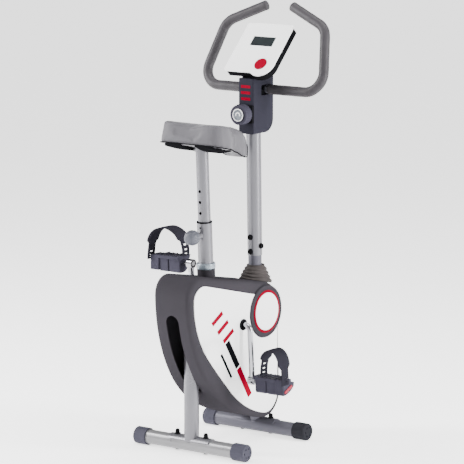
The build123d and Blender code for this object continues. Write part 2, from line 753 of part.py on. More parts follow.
KNOB_START = SLEEVE_R + LOCK_BOSS
KNOB_DEPTH = POST_R + FREE_GAP + LOCK_PIN_LENGTH - KNOB_START
with BuildPart() as lock_knob:
    with BuildSketch(lock_plane.offset(KNOB_START)):
        Circle(23)
        with PolarLocations(26.5, 8):
            Circle(5, mode=Mode.SUBTRACT)
    extrude(amount=40)
    fillet(lock_knob.faces().sort_by(Axis.Y)[0].edges(), 2.5)
    cut_round(lock_plane.offset(KNOB_START), KNOB_DEPTH, LOCK_PIN_R)
write(lock_knob, "lock_knob")

SEAT_BACK = -171.0
SEAT_NOSE = 123.0
SEAT_BASE_SLOPE = 37 / 169


def seat_base_z(y):
    """Height of the cushion's flat underside at y."""
    return 894 - (y + 2) * SEAT_BASE_SLOPE


def saddle_plan(inset):
    """Plan outline of the saddle: broad rounded back, narrow nose."""
    back = SEAT_BACK + inset
    nose = SEAT_NOSE - inset
    with BuildLine() as outline:
        for sign in (-1, 1):
            Spline(
                (0, back),
                (sign * (82 - inset * 0.6), back + 4),
                (sign * (115 - inset), back + 35),
                (sign * (88 - inset), -56),
                (sign * (45 - inset), 4),
                (sign * (31 - inset * 0.8), 72),
                (0, nose),
                tangents=((sign, 0), (-sign, 0)),
            )
    make_face(outline.edges())


with BuildPart() as saddle_cushion:
    with BuildSketch(side_plane(-120)):
        with BuildLine():
            Line((SEAT_BACK - 1, seat_base_z(SEAT_BACK - 1)), (SEAT_BACK - 1, 994))
            Spline(
                (SEAT_BACK - 1, 994),
                (-116, 984),
                (-31, 970),
                (33, 959),
                (77, 945),
                (109, 925),
                (SEAT_NOSE + 1, 900),
                tangents=((1, -0.1), (0.15, -1)),
            )
            Polyline((SEAT_NOSE + 1, 900), (104, 886), (104, 866), (82, 867))
            Spline((82, 867), (14, seat_base_z(14)), tangents=((-1, 0.1), (-1, SEAT_BASE_SLOPE)))
            Line((14, seat_base_z(14)), (SEAT_BACK - 1, seat_base_z(SEAT_BACK - 1)))
        make_face()
    extrude(amount=240)
    with BuildSketch(Plane(origin=(0, CRANK_Y, 0))):
        saddle_plan(0)
    extrude(amount=1200, mode=Mode.INTERSECT)
write(saddle_cushion, "saddle_cushion")

with BuildPart() as saddle_pan:
    with BuildSketch(Plane(origin=(0, CRANK_Y, 880))):
        saddle_plan(5)
    extrude(amount=70)
    with BuildSketch(side_plane(-120)):
        with BuildLine():
            Spline((-168, 928), (-120, 907), (-60, 897), (-6, seat_base_z(-6)))
            Line((-6, seat_base_z(-6)), (-168, seat_base_z(-168)))
            Line((-168, seat_base_z(-168)), (-168, 928))
        make_face()
    extrude(amount=240, mode=Mode.INTERSECT)
    with BuildSketch(Plane(origin=(0, CRANK_Y, 0), x_dir=(1, 0, 0), z_dir=(0, -1, 0))):
        with BuildLine():
            ThreePointArc((-114, 930), (0, 890), (114, 930))
            Polyline((114, 930), (114, 960), (-114, 960), (-114, 930))
        make_face()
    extrude(amount=260, both=True, mode=Mode.INTERSECT)
    with BuildSketch(Plane(origin=(0, CRANK_Y, 880))):
        with Locations((0, -134)):
            RectangleRounded(54, 138, 26)
    extrude(amount=70, mode=Mode.SUBTRACT)
write(saddle_pan, "saddle_pan")

with BuildPart() as seat_clamp:
    add_round(SEAT_AXIS.offset(POST_TOP), 40, 23)
    with BuildSketch(side_plane(-60)):
        with BuildLine():
            Polyline(
                (-200, seat_base_z(-200)),
                (0, seat_base_z(0)),
                (0, 1000),
                (-200, 1000),
                close=True,
            )
        make_face()
    extrude(amount=120, mode=Mode.SUBTRACT)
write(seat_clamp, "seat_clamp")

# ---------------------------------------------------------------------------
# Mast, head casing, handlebar.
# ---------------------------------------------------------------------------
with BuildPart() as mast_tube:
    add_tube(MAST_AXIS.offset(MAST_BOTTOM), MAST_TOP - MAST_BOTTOM, MAST_R, STUB_R)
    for bolt_plane in MAST_BOLTS:
        cut_round(bolt_plane, 40, MAST_BOLT_R)
write(mast_tube, "mast_tube")

with BuildPart() as mast_bolts:
    for bolt_plane in MAST_BOLTS:
        add_round(bolt_plane.offset(STUB_R - 6), MAST_R + 6 - STUB_R, MAST_BOLT_R)
        add_round(bolt_plane.offset(MAST_R + 0.3), 1.2, 9.0)
        add_round(bolt_plane.offset(MAST_R + 1.5), 4.5, 7.0)
        with BuildSketch(bolt_plane.offset(MAST_R + 6.0)):
            RegularPolygon(2.9, 6)
        extrude(amount=-2.5, mode=Mode.SUBTRACT)
write(mast_bolts, "mast_bolts")

console_dir = Vector(0, -cos(radians(CONSOLE_TILT)), -sin(radians(CONSOLE_TILT)))
console_normal = Vector(0, -sin(radians(CONSOLE_TILT)), cos(radians(CONSOLE_TILT)))
CONSOLE_FACE = Plane(
    origin=(0, CRANK_Y + CONSOLE_TOP_Y, CONSOLE_TOP_Z), x_dir=(1, 0, 0), z_dir=console_normal
)


def console_outline(inset=0.0):
    """Face outline: (right, up the slope) from the middle of the top edge."""
    bulge = (40, -152)
    radius = 44.0 - inset
    low = -186.0 + inset
    start = bulge[0] - sqrt(radius**2 - (low - bulge[1]) ** 2)
    with BuildLine() as outline:
        Line((-84 + inset, -inset), (84 - inset, -inset))
        Line((84 - inset, -inset), (84 - inset, -152))
        ThreePointArc((84 - inset, -152), (bulge[0], bulge[1] - radius), (start, low))
        Line((start, low), (-86 + inset, low))
        Line((-86 + inset, low), (-84 + inset, -inset))
    make_face(outline.edges())


def console_prism(start, depth, inset, mode=Mode.ADD):
    with BuildSketch(CONSOLE_FACE.offset(start)) as face:
        console_outline(inset)
        fillet([v for v in vertices() if abs(v.X) > 60 and (v.Y > -20 or v.Y < -170)], 9)
    extrude(face.sketch, amount=depth, mode=mode)


def head_profile(inset):
    with BuildLine() as outline:
        Polyline(
            (HEAD_BACK + inset, HEAD_BOTTOM + inset),
            (HEAD_FRONT - 40, HEAD_BOTTOM + inset),
        )
        ThreePointArc(
            (HEAD_FRONT - 40, HEAD_BOTTOM + inset),
            (HEAD_FRONT - inset - 11.7, HEAD_BOTTOM + inset + 11.7),
            (HEAD_FRONT - inset, HEAD_BOTTOM + 40),
        )
        Polyline(
            (HEAD_FRONT - inset, HEAD_BOTTOM + 40),
            (HEAD_FRONT - inset, 1215),
            (HEAD_BACK + 20, 1108),
            (HEAD_BACK + 20, HEAD_TOP - inset),
            (HEAD_BACK + inset, HEAD_TOP - inset),
            (HEAD_BACK + inset, HEAD_BOTTOM + inset),
        )
    make_face(outline.edges())


with BuildPart() as head_casing:
    with BuildSketch(side_plane(0)):
        head_profile(0)
    extrude(amount=HEAD_HALF)
    fillet(
        [
            edge
            for edge in head_casing.faces().sort_by(Axis.X)[-1].edges()
            if edge.center().Z < 1097
        ],
        5.0,
    )
    with BuildSketch(side_plane(0)):
        head_profile(3.0)
    extrude(amount=HEAD_HALF - 3.0, mode=Mode.SUBTRACT)
    cut_round(MAST_AXIS.offset(900), 60, MAST_R)
    cut_along_x(BAR_Y, BAR_Z, BAR_R, 60)
    with BuildSketch(side_plane(HEAD_HALF)):
        with Locations((BAR_Y - 13, BAR_Z)):
            RectangleRounded(50, 31, 4)
    extrude(amount=-3.0, mode=Mode.SUBTRACT)
    cut_round(axis_plane(0, HEAD_BACK - 1, 992, (0, 1, 0)), 10, 8.0)
for side, sign in SIDES:
    with BuildPart() as head_half:
        if sign > 0:
            add(head_casing.part)
        else:
            mirror(head_casing.part, about=Plane.YZ)
        console_prism(0, -CONSOLE_THICK, CONSOLE_INSET, Mode.SUBTRACT)
    write(head_half, f"head_casing_{side}")

with BuildPart() as knob_bezel:
    with BuildSketch(axis_plane(0, HEAD_BACK, 992, (0, -1, 0))):
        RectangleRounded(54, 60, 4)
    extrude(amount=9)
    fillet(knob_bezel.faces().sort_by(Axis.Y)[0].edges(), 2.0)
    cut_round(axis_plane(0, HEAD_BACK - 10, 992, (0, 1, 0)), 12, 8.0)
write(knob_bezel, "knob_bezel")

with BuildPart() as tension_knob:
    with BuildSketch(axis_plane(0, HEAD_BACK - 9.4, 992, (0, -1, 0))):
        Circle(30)
        with PolarLocations(31.5, 24):
            Circle(2.2, mode=Mode.SUBTRACT)
    extrude(amount=29)
    with BuildSketch(axis_plane(0, HEAD_BACK - 38.4, 992, (0, -1, 0))):
        Circle(20)
    extrude(amount=2.5)
    add_round(axis_plane(0, HEAD_BACK - 9.4, 992, (0, 1, 0)), 20, 7.9)
write(tension_knob, "tension_knob")

tilt = radians(BAR_TILT)
BAR_PLANE = Plane(
    origin=(0, CRANK_Y + BAR_Y, BAR_Z), x_dir=(1, 0, 0), z_dir=(0, -cos(tilt), sin(tilt))
)
BAR_END = (51, 261)
BAR_UPPER = (184, 202)
BAR_LOWER = (228, 0)
BAR_BEND_R = 55
GRIP_START_X = 30
GRIP_END = 4.0

with BuildPart() as handlebar:
    with BuildLine(BAR_PLANE) as bar_line:
        right_corners = [BAR_LOWER, BAR_UPPER, BAR_END]
        left_corners = [(-x, y) for x, y in reversed(right_corners)]
        FilletPolyline(*left_corners, *right_corners, radius=BAR_BEND_R)
    with BuildSketch(Plane(origin=bar_line.line @ 0, z_dir=bar_line.line % 0)):
        Circle(BAR_R)
        Circle(BAR_R - 2, mode=Mode.SUBTRACT)
    sweep()
write(handlebar, "handlebar")

with BuildPart() as grip_sleeve:
    with BuildLine(BAR_PLANE) as grip_line:
        FilletPolyline((GRIP_START_X, 0), BAR_LOWER, BAR_UPPER, BAR_END, radius=BAR_BEND_R)
    with BuildSketch(Plane(origin=grip_line.line @ 0, z_dir=grip_line.line % 0)):
        Circle(GRIP_R)
        Circle(BAR_R, mode=Mode.SUBTRACT)
    sweep()
    grip_end = Plane(origin=grip_line.line @ 1, z_dir=grip_line.line % 1)
    add_round(grip_end, GRIP_END - 1.5, GRIP_R)
    add_round(grip_end.offset(GRIP_END - 1.5), 1.5, GRIP_R - 1.5)
both_sides(grip_sleeve, "grips")

with BuildPart() as bar_clamp:
    with BuildSketch(side_plane(-22)):
        with Locations((BAR_Y, BAR_Z)):
            Circle(BAR_R + 4)
        with Locations((BAR_Y - 22, BAR_Z - 30)):
            Rectangle(34, 60)
        with Locations((BAR_Y, BAR_Z)):
            Circle(BAR_R, mode=Mode.SUBTRACT)
    extrude(amount=44)
    cut_round(MAST_AXIS.offset(900), MAST_TOP - 900, MAST_R)
write(bar_clamp, "bar_clamp")

# ---------------------------------------------------------------------------
# Console.
# ---------------------------------------------------------------------------
LCD_LOW = -86.0
LCD_HIGH = -50.0
LCD_WIDTH = 82.0
BUTTON_X = 36.0
BUTTON_DOWN = -153.0
BUTTON_R = 20.5


def button_plane(height):
    """Plane parallel to the console face, centred on the button."""
    return Plane(
        origin=CONSOLE_FACE.from_local_coords((BUTTON_X, BUTTON_DOWN, height)),
        z_dir=console_normal,
    )


with BuildPart() as console_front:
    console_prism(0, -FACE_THICK, 0)
    with BuildSketch(CONSOLE_FACE):
        with Locations((2, (LCD_LOW + LCD_HIGH) / 2)):
            Rectangle(LCD_WIDTH, LCD_HIGH - LCD_LOW)
    extrude(amount=-FACE_THICK, mode=Mode.SUBTRACT)
    cut_round(button_plane(-20), 40, BUTTON_R + 0.6)
write(console_front, "console_front")

with BuildPart() as console_display:
    with BuildSketch(CONSOLE_FACE.offset(-FACE_THICK)):
        with Locations((2, (LCD_LOW + LCD_HIGH) / 2)):
            Rectangle(LCD_WIDTH, LCD_HIGH - LCD_LOW)
    extrude(amount=FACE_THICK - 1.2)
write(console_display, "console_display")

with BuildPart() as console_back:
    console_prism(-FACE_THICK, FACE_THICK - CONSOLE_THICK, CONSOLE_INSET)
    console_prism(-FACE_THICK, FACE_THICK - CONSOLE_THICK + 3, CONSOLE_INSET + 3, Mode.SUBTRACT)
write(console_back, "console_back")

with BuildPart() as console_button:
    add_round(button_plane(-10), 12.0, BUTTON_R)
    fillet(console_button.faces().sort_by(Axis.Z)[-1].edges(), 1.5)
write(console_button, "console_button")

# ---------------------------------------------------------------------------
# Pedals: body, strap and reflector; both hang level from their spindles.
# ---------------------------------------------------------------------------
TREAD = 20.0
STRAP_THICK = 2.6
STRAP_WIDTH = 36.0
STRAP_TOP = 150.0
PAD_WIDTH = 58.0
STRAP_INNER_X = 148.0
LOBE_X = 250.0
LOBE_BACK = -28.0
RIGHT_EYE_Z = CRANK_Z - CRANK_LENGTH


def pedal_profile_plane(x):
    """Plane facing outwards on the right pedal: (forward, up) from its spindle."""
    return Plane(origin=(x, CRANK_Y, RIGHT_EYE_Z), x_dir=(0, 1, 0), z_dir=(1, 0, 0))


def strap_face_plane(y):
    """Plane facing backwards across the right pedal: (outwards, up) from its spindle."""
    return Plane(origin=(0, CRANK_Y + y, RIGHT_EYE_Z), x_dir=(1, 0, 0), z_dir=(0, -1, 0))


def pedal_pair(right_piece, name):
    """Write the low right-hand piece and its mirror image on the raised left arm."""
    write(right_piece, f"{name}_right")
    with BuildPart() as left_piece:
        add(Pos(0, 0, 2 * CRANK_LENGTH) * mirror(right_piece.part, about=Plane.YZ, mode=Mode.PRIVATE))
    write(left_piece, f"{name}_left")


with BuildPart() as pedal:
    with BuildSketch(pedal_profile_plane(PEDAL_INNER_X)):
        with BuildLine():
            Polyline((0, -31), (-22, -31), (-26, TREAD - 10), (-30, TREAD - 6), (-30, TREAD))
            Polyline((-30, TREAD), (30, TREAD), (30, TREAD - 8))
            ThreePointArc((30, TREAD - 8), (22, -20), (0, -31))
        make_face()
    extrude(amount=PEDAL_OUTER_X - PEDAL_INNER_X)
    with BuildSketch(pedal_profile_plane(PEDAL_OUTER_X)):
        with BuildLine():
            Polyline((LOBE_BACK, -28), (LOBE_BACK, TREAD), (13, TREAD), (13, 8), (28, 8), (28, -4))
            ThreePointArc((28, -4), (4, -22), (LOBE_BACK, -28))
        make_face()
    extrude(amount=LOBE_X - PEDAL_OUTER_X)
    with BuildSketch(Plane(origin=(0, CRANK_Y, RIGHT_EYE_Z + TREAD))):
        with Locations((184, 0)):
            with GridLocations(15, 11, 5, 5):
                Circle(2.4)
    extrude(amount=3.0)
    cut_round(
        axis_plane(PEDAL_INNER_X - 1, 0, RIGHT_EYE_Z, (1, 0, 0)), 76.5, 5.5 + RUNNING_GAP
    )
pedal_pair(pedal, "pedal")


def strap_arch(thick):
    """Run of the strap over the shoe, from the tread to the outer face of the lobe."""
    return Spline(
        (STRAP_INNER_X - thick, TREAD),
        (150 - thick, 48),
        (164 - thick * 0.8, 84 + thick * 0.6),
        (194, 103 + thick),
        (225 + thick * 0.5, 96 + thick * 0.9),
        (243 + thick * 0.9, 70 + thick * 0.4),
        (LOBE_X + thick, TREAD),
        tangents=((0, 1), (0, -1)),
    )


def strap_centre_y(x):
    """Middle of the slanted strap at x: ahead of the spindle inside, behind it outside."""
    return 15 - (x - STRAP_INNER_X) * 36 / 103


def slanted_band(width):
    """Arch of the strap, cut to a slanted plan of the given width."""
    with BuildSketch(strap_face_plane(-70)) as band:
        with BuildLine() as strap_run:
            near = strap_arch(0)
            far = strap_arch(STRAP_THICK)
            Line(near @ 0, far @ 0)
            Polyline(near @ 1, (LOBE_X, 4), (LOBE_X + STRAP_THICK, 4), far @ 1)
        make_face(strap_run.edges())
    extrude(band.sketch, amount=-140)
    with BuildSketch(Plane(origin=(0, CRANK_Y, RIGHT_EYE_Z))) as plan:
        with BuildLine() as plan_edge:
            Polyline(
                (135, strap_centre_y(135) - width / 2),
                (265, strap_centre_y(265) - width / 2),
                (265, strap_centre_y(265) + width / 2),
                (135, strap_centre_y(135) + width / 2),
                close=True,
            )
        make_face(plan_edge.edges())
    extrude(plan.sketch, amount=STRAP_TOP, mode=Mode.INTERSECT)


with BuildPart() as strap_pad:
    slanted_band(PAD_WIDTH)
    with BuildSketch(strap_face_plane(-70)):
        with BuildLine():
            Polyline((135, 66), (135, STRAP_TOP), (265, STRAP_TOP), (265, 48), close=True)
        make_face()
    extrude(amount=-140, mode=Mode.INTERSECT)

with BuildPart() as pedal_strap:
    slanted_band(STRAP_WIDTH)
    add(strap_pad.part)
pedal_pair(pedal_strap, "pedal_strap")

with BuildPart() as pedal_reflector:
    with BuildSketch(pedal_profile_plane(LOBE_X)):
        with Locations((-4, -10)):
            RectangleRounded(40, 9, 3, rotation=24)
    extrude(amount=2.5)
    fillet(pedal_reflector.faces().sort_by(Axis.X)[-1].edges(), 0.8)
pedal_pair(pedal_reflector, "pedal_reflector")
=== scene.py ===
import bpy
import bmesh
from math import cos, exp, pi, radians, sin, sqrt, tan
from mathutils import Matrix, Vector


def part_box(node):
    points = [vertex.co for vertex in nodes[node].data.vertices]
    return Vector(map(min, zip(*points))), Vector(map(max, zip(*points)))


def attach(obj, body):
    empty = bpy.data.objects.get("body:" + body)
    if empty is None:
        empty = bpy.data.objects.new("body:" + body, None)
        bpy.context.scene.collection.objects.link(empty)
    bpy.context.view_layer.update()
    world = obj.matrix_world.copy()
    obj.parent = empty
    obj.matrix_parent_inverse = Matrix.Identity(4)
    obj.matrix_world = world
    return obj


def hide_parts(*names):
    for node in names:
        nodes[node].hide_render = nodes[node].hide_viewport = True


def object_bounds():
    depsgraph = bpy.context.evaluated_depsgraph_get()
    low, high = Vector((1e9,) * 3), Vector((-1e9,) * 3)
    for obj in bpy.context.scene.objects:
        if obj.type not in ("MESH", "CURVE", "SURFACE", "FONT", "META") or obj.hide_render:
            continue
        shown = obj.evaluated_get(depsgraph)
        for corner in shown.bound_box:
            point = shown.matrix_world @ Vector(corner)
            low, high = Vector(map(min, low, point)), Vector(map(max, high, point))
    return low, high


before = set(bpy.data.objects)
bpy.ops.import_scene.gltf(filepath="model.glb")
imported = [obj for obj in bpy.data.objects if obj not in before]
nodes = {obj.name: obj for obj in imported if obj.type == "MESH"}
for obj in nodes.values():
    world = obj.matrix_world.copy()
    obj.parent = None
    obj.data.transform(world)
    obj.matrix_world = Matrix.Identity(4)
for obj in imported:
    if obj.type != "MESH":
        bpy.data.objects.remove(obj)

cad_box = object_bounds()
scene = bpy.context.scene


def middle(node):
    """Centre of a CAD node's box, in metres."""
    low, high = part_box(node)
    return (Vector(low) + Vector(high)) / 2


# Shared places, all read from the frame.
CRANK_Y = middle("crank_bearings").y
FLOOR_Z = cad_box[0][2]


# ---------------------------------------------------------------------------
# Materials.
# ---------------------------------------------------------------------------
def ramp(tree, source, stops, interpolation="LINEAR"):
    """A colour ramp node fed by source; stops are (place, grey or colour)."""
    node = tree.nodes.new("ShaderNodeValToRGB")
    node.color_ramp.interpolation = interpolation
    elements = node.color_ramp.elements
    while len(elements) < len(stops):
        elements.new(0.5)
    for element, (place, colour) in zip(elements, stops):
        element.position = place
        if isinstance(colour, (int, float)):
            colour = (colour, colour, colour)
        element.color = (*colour, 1.0)
    tree.links.new(source, node.inputs["Fac"])
    return node.outputs["Color"]


def noise_node(tree, coords, scale, detail=3.0, rough=0.5, stretch=None):
    """A noise texture's value; its scale is in features per metre."""
    if stretch:
        mapping = tree.nodes.new("ShaderNodeMapping")
        mapping.inputs["Scale"].default_value = stretch
        tree.links.new(coords, mapping.inputs["Vector"])
        coords = mapping.outputs["Vector"]
    node = tree.nodes.new("ShaderNodeTexNoise")
    node.inputs["Scale"].default_value = scale
    node.inputs["Detail"].default_value = detail
    node.inputs["Roughness"].default_value = rough
    tree.links.new(coords, node.inputs["Vector"])
    return node.outputs["Fac"]


def shaded(colour, factor):
    """A colour made lighter or darker."""
    return tuple(max(0.0, min(1.0, c * factor)) for c in colour)


def material(
    name,
    colour,
    rough=(0.4, 0.5),
    vary=0.06,
    vary_scale=9.0,
    metallic=0.0,
    grain=0.0,
    grain_scale=900.0,
    grain_stretch=None,
    grain_kind="noise",
    wear=None,
    coat=0.0,
    coat_rough=0.1,
    specular=0.5,
):
    """Procedural material: soft colour drift, changing roughness, fine bump and optional scuffs."""
    mat = bpy.data.materials.new(name)
    mat.use_nodes = True
    tree = mat.node_tree
    shader = tree.nodes["Principled BSDF"]
    shader.inputs["Metallic"].default_value = metallic
    shader.inputs["Coat Weight"].default_value = coat
    shader.inputs["Coat Roughness"].default_value = coat_rough
    shader.inputs["Specular IOR Level"].default_value = specular
    coords = tree.nodes.new("ShaderNodeTexCoord").outputs["Object"]
    drift = noise_node(tree, coords, vary_scale, 4.0, 0.6)
    base = ramp(
        tree, drift, [(0.3, shaded(colour, 1 - vary)), (0.7, shaded(colour, 1 + vary))]
    )
    if wear:
        scuff = noise_node(tree, coords, 55.0, 6.0, 0.75)
        mask = ramp(tree, scuff, [(wear[1], 0.0), (wear[1] + 0.06, 1.0)])
        mix = tree.nodes.new("ShaderNodeMixRGB")
        mix.inputs["Color2"].default_value = (*wear[0], 1.0)
        tree.links.new(mask, mix.inputs["Fac"])
        tree.links.new(base, mix.inputs["Color1"])
        base = mix.outputs["Color"]
    tree.links.new(base, shader.inputs["Base Color"])
    patch = noise_node(tree, coords, vary_scale * 3.1, 3.0, 0.6)
    tree.links.new(ramp(tree, patch, [(0.3, rough[0]), (0.7, rough[1])]), shader.inputs["Roughness"])
    if grain:
        if grain_kind == "cells":
            cell = tree.nodes.new("ShaderNodeTexVoronoi")
            cell.feature = "SMOOTH_F1"
            cell.inputs["Scale"].default_value = grain_scale
            tree.links.new(coords, cell.inputs["Vector"])
            height = cell.outputs["Distance"]
        else:
            height = noise_node(tree, coords, grain_scale, 2.0, 0.6, grain_stretch)
        bump = tree.nodes.new("ShaderNodeBump")
        bump.inputs["Strength"].default_value = grain
        bump.inputs["Distance"].default_value = 0.0004
        tree.links.new(height, bump.inputs["Height"])
        tree.links.new(bump.outputs["Normal"], shader.inputs["Normal"])
    return mat


SILVER = (0.135, 0.133, 0.147)
MAT = {
    "paint": material("silver paint", SILVER, (0.26, 0.38), 0.06, 6.0, 0.55, 0.15, 1400.0,
                      wear=((0.10, 0.10, 0.11), 0.70), coat=0.10, coat_rough=0.2),
    # A lighter copy of the silver paint: painted light on the rear foot tube.
    "paint_lit": material("silver paint painted lighter", (0.175, 0.173, 0.180), (0.26, 0.38), 0.06, 6.0, 0.45,
                            0.12, 1400.0, wear=((0.13, 0.13, 0.14), 0.70), coat=0.12, coat_rough=0.2),
    # A darker copy of the silver paint: painted shade on the front upright and front foot tube; on the
    # handlebar it is the bar's own dark grey.
    "paint_dark_and_shaded": material("grey paint and painted shade", (0.085, 0.083, 0.101), (0.32, 0.44), 0.06, 6.0, 0.3, 0.15,
                           1400.0, wear=((0.12, 0.12, 0.135), 0.71), specular=0.05),
    "bolt": material("black fastener", (0.004, 0.004, 0.005), (0.30, 0.44), 0.2, 40.0, 0.0, 0.1, 1500.0,
                     wear=((0.03, 0.03, 0.03), 0.66), specular=0.03),
    "steel": material("turned steel", (0.40, 0.40, 0.42), (0.22, 0.36), 0.05, 20.0, 1.0, 0.25, 500.0,
                      (1.0, 12.0, 12.0)),
    "chrome": material("chrome", (0.36, 0.36, 0.385), (0.07, 0.16), 0.05, 14.0, 1.0, 0.05, 600.0),
    "iron": material("cast iron", (0.16, 0.16, 0.17), (0.45, 0.65), 0.12, 30.0, 0.8, 0.5, 700.0),
    "shell": material("shell plastic", (0.033, 0.0305, 0.0355), (0.30, 0.42), 0.08, 5.0, 0.0, 0.10,
                      1700.0, wear=((0.036, 0.034, 0.039), 0.74), specular=0.0),
    "white": material("white gloss plastic", (0.90, 0.90, 0.90), (0.10, 0.18), 0.012, 5.0, 0.0, 0.02,
                      1200.0, coat=0.4, coat_rough=0.06),
    "red": material("red gloss plastic", (0.19, 0.0, 0.012), (0.26, 0.36), 0.06, 12.0, 0.0, 0.05,
                    1200.0, specular=0.0),
    "black": material("black plastic", (0.006, 0.006, 0.007), (0.36, 0.48), 0.12, 14.0, 0.0, 0.2,
                      1600.0, wear=((0.015, 0.015, 0.016), 0.70), specular=0.0),
    "boot": material("moulded rubber", (0.050, 0.044, 0.043), (0.42, 0.60), 0.16, 26.0, 0.0, 0.35,
                     900.0, wear=((0.075, 0.068, 0.064), 0.64), specular=0.03),
    "collar": material("satin collar", (0.20, 0.235, 0.27), (0.22, 0.34), 0.05, 18.0, 0.5, 0.1, 900.0,
                       coat=0.2),
    "vinyl": material("saddle vinyl", (0.098, 0.095, 0.104), (0.30, 0.42), 0.10, 8.0, 0.0, 0.55,
                      520.0, grain_kind="cells", specular=0.04),
    "head": material("head plastic", (0.020, 0.0195, 0.0275), (0.38, 0.50), 0.06, 8.0, 0.0, 0.14, 1700.0,
                     wear=((0.027, 0.026, 0.034), 0.73), specular=0.01),
    "foam": material("grip foam", (0.040, 0.037, 0.041), (0.34, 0.48), 0.12, 22.0, 0.0, 0.35, 1300.0,
                     specular=0.12),
    "lcd": material("display window", (0.014, 0.017, 0.0185), (0.12, 0.2), 0.05, 20.0, 0.0, 0.02, 900.0,
                    coat=0.1, coat_rough=0.03, specular=0.1),
    "pedal": material("pedal plastic", (0.036, 0.034, 0.048), (0.36, 0.50), 0.12, 16.0, 0.0, 0.3,
                      1300.0, wear=((0.06, 0.06, 0.075), 0.66), specular=0.02),
    "knob": material("knob plastic", (0.085, 0.088, 0.105), (0.24, 0.34), 0.08, 16.0, 0.0, 0.1,
                     1300.0, specular=0.12),
    "strap": material("strap rubber", (0.019, 0.018, 0.024), (0.38, 0.52), 0.12, 20.0, 0.0, 0.3,
                      1100.0, wear=((0.035, 0.034, 0.041), 0.67), specular=0.0),
    "reflector": material("reflector", (0.25, 0.0, 0.018), (0.08, 0.16), 0.15, 60.0, 0.0, 0.9, 420.0,
                          grain_kind="cells", coat=0.2, coat_rough=0.05, specular=0.15),
    "dial": material("dial face", (0.13, 0.145, 0.165), (0.25, 0.35), 0.05, 20.0, 0.4, 0.05, 1200.0),
    "dark_mark": material("dark print", (0.003, 0.003, 0.004), (0.3, 0.4), 0.1, 20.0, 0.0, 0.02,
                          1200.0, specular=0.0),
    "cap": material("cap plastic", (0.046, 0.045, 0.060), (0.35, 0.50), 0.10, 14.0, 0.0, 0.25, 1500.0,
                    wear=((0.07, 0.07, 0.082), 0.67), specular=0.02),
    # A darker copy of the cap plastic: painted shade on the right front cap.
    "cap_shaded": material("cap plastic painted darker", (0.021, 0.021, 0.025), (0.32, 0.46), 0.1, 14.0, 0.0, 0.25,
                         1500.0, wear=((0.025, 0.025, 0.028), 0.67), specular=0.0),
}

FINISH = {
    # The rear foot tube's lighter paint is painted light, and the front foot tube's darker paint is painted
    # shade.
    "rear_foot_tube": "paint_lit", "front_foot_tube": "paint_dark_and_shaded",
    # The front upright's darker paint is painted shade.
    "rear_upright": "paint", "front_upright": "paint_dark_and_shaded", "seat_tube": "paint",
    "main_beam": "paint", "mast_tube": "paint", "flywheel_fork": "paint", "seat_clamp": "paint",
    # The bar clamp's black is painted shade in the head's slot; the handlebar's dark grey is its own colour.
    "bar_clamp": "black", "handlebar": "paint_dark_and_shaded", "seat_post": "paint",
    "rear_cap_left": "cap", "rear_cap_right": "cap",
    # The right front cap's darker plastic is painted shade.
    "front_cap_left": "cap", "front_cap_right": "cap_shaded",
    "foot_bolts": "bolt", "mast_bolts": "bolt", "lock_pin": "steel", "brake_pivot_pin": "steel",
    "crank": "chrome", "pedal_spindles": "steel", "crank_bearings": "steel",
    "flywheel_bearings": "steel", "flywheel_shaft": "steel", "flywheel_pulley": "steel",
    "drive_pulley": "black", "drive_belt": "black", "flywheel": "iron", "magnet_shoe": "steel",
    "brake_magnets": "steel", "shroud_left": "shell", "shroud_right": "shell",
    "side_panel_left": "white", "side_panel_right": "white", "trim_rings": "red",
    "disc_covers": "white", "axle_rings": "black", "mast_boot": "boot", "neck_collar": "collar",
    "sleeve_bushing": "black", "lock_knob": "knob", "saddle_cushion": "vinyl", "saddle_pan": "black",
    "head_casing_left": "head", "head_casing_right": "head", "knob_bezel": "black",
    "tension_knob": "pedal", "grips": "foam", "console_front": "white", "console_display": "lcd",
    "console_back": "black", "console_button": "red", "pedal_left": "pedal", "pedal_right": "pedal",
    "pedal_strap_left": "strap", "pedal_strap_right": "strap",
    "pedal_reflector_left": "reflector", "pedal_reflector_right": "reflector",
}
for name, finish in FINISH.items():
    for place in nodes[name].material_slots:
        place.material = MAT[finish]

# CAD nodes whose sharp edges are eased, with the width of the easing in metres.
EASED = {
    "console_front": 0.0015, "console_button": 0.001, "knob_bezel": 0.0008,
    "tension_knob": 0.0008, "seat_clamp": 0.0015, "drive_pulley": 0.0008, "flywheel": 0.001,
    "side_panel_left": 0.0008, "side_panel_right": 0.0008,
}


def ease(obj, width, segments, sharper_than):
    """Rounds an object's edges that are sharper than an angle in degrees."""
    bevel = obj.modifiers.new("eased edges", "BEVEL")
    bevel.width = width
    bevel.segments = segments
    bevel.limit_method = "ANGLE"
    bevel.angle_limit = radians(sharper_than)


for name, width in EASED.items():
    ease(nodes[name], width, 2, 35)


# ---------------------------------------------------------------------------
# Mesh helpers.
# ---------------------------------------------------------------------------
def piece(name, verts, faces, mat, body, smooth=True):
    """A new mesh object that rides on a body."""
    mesh = bpy.data.meshes.new(name)
    mesh.from_pydata([tuple(v) for v in verts], [], faces)
    mesh.validate()
    obj = bpy.data.objects.new(name, mesh)
    scene.collection.objects.link(obj)
    mesh.materials.append(MAT[mat])
    fix = bmesh.new()
    fix.from_mesh(mesh)
    bmesh.ops.recalc_face_normals(fix, faces=fix.faces)
    fix.to_mesh(mesh)
    fix.free()
    for polygon in mesh.polygons:
        polygon.use_smooth = smooth
    if body:
        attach(obj, body)
    return obj


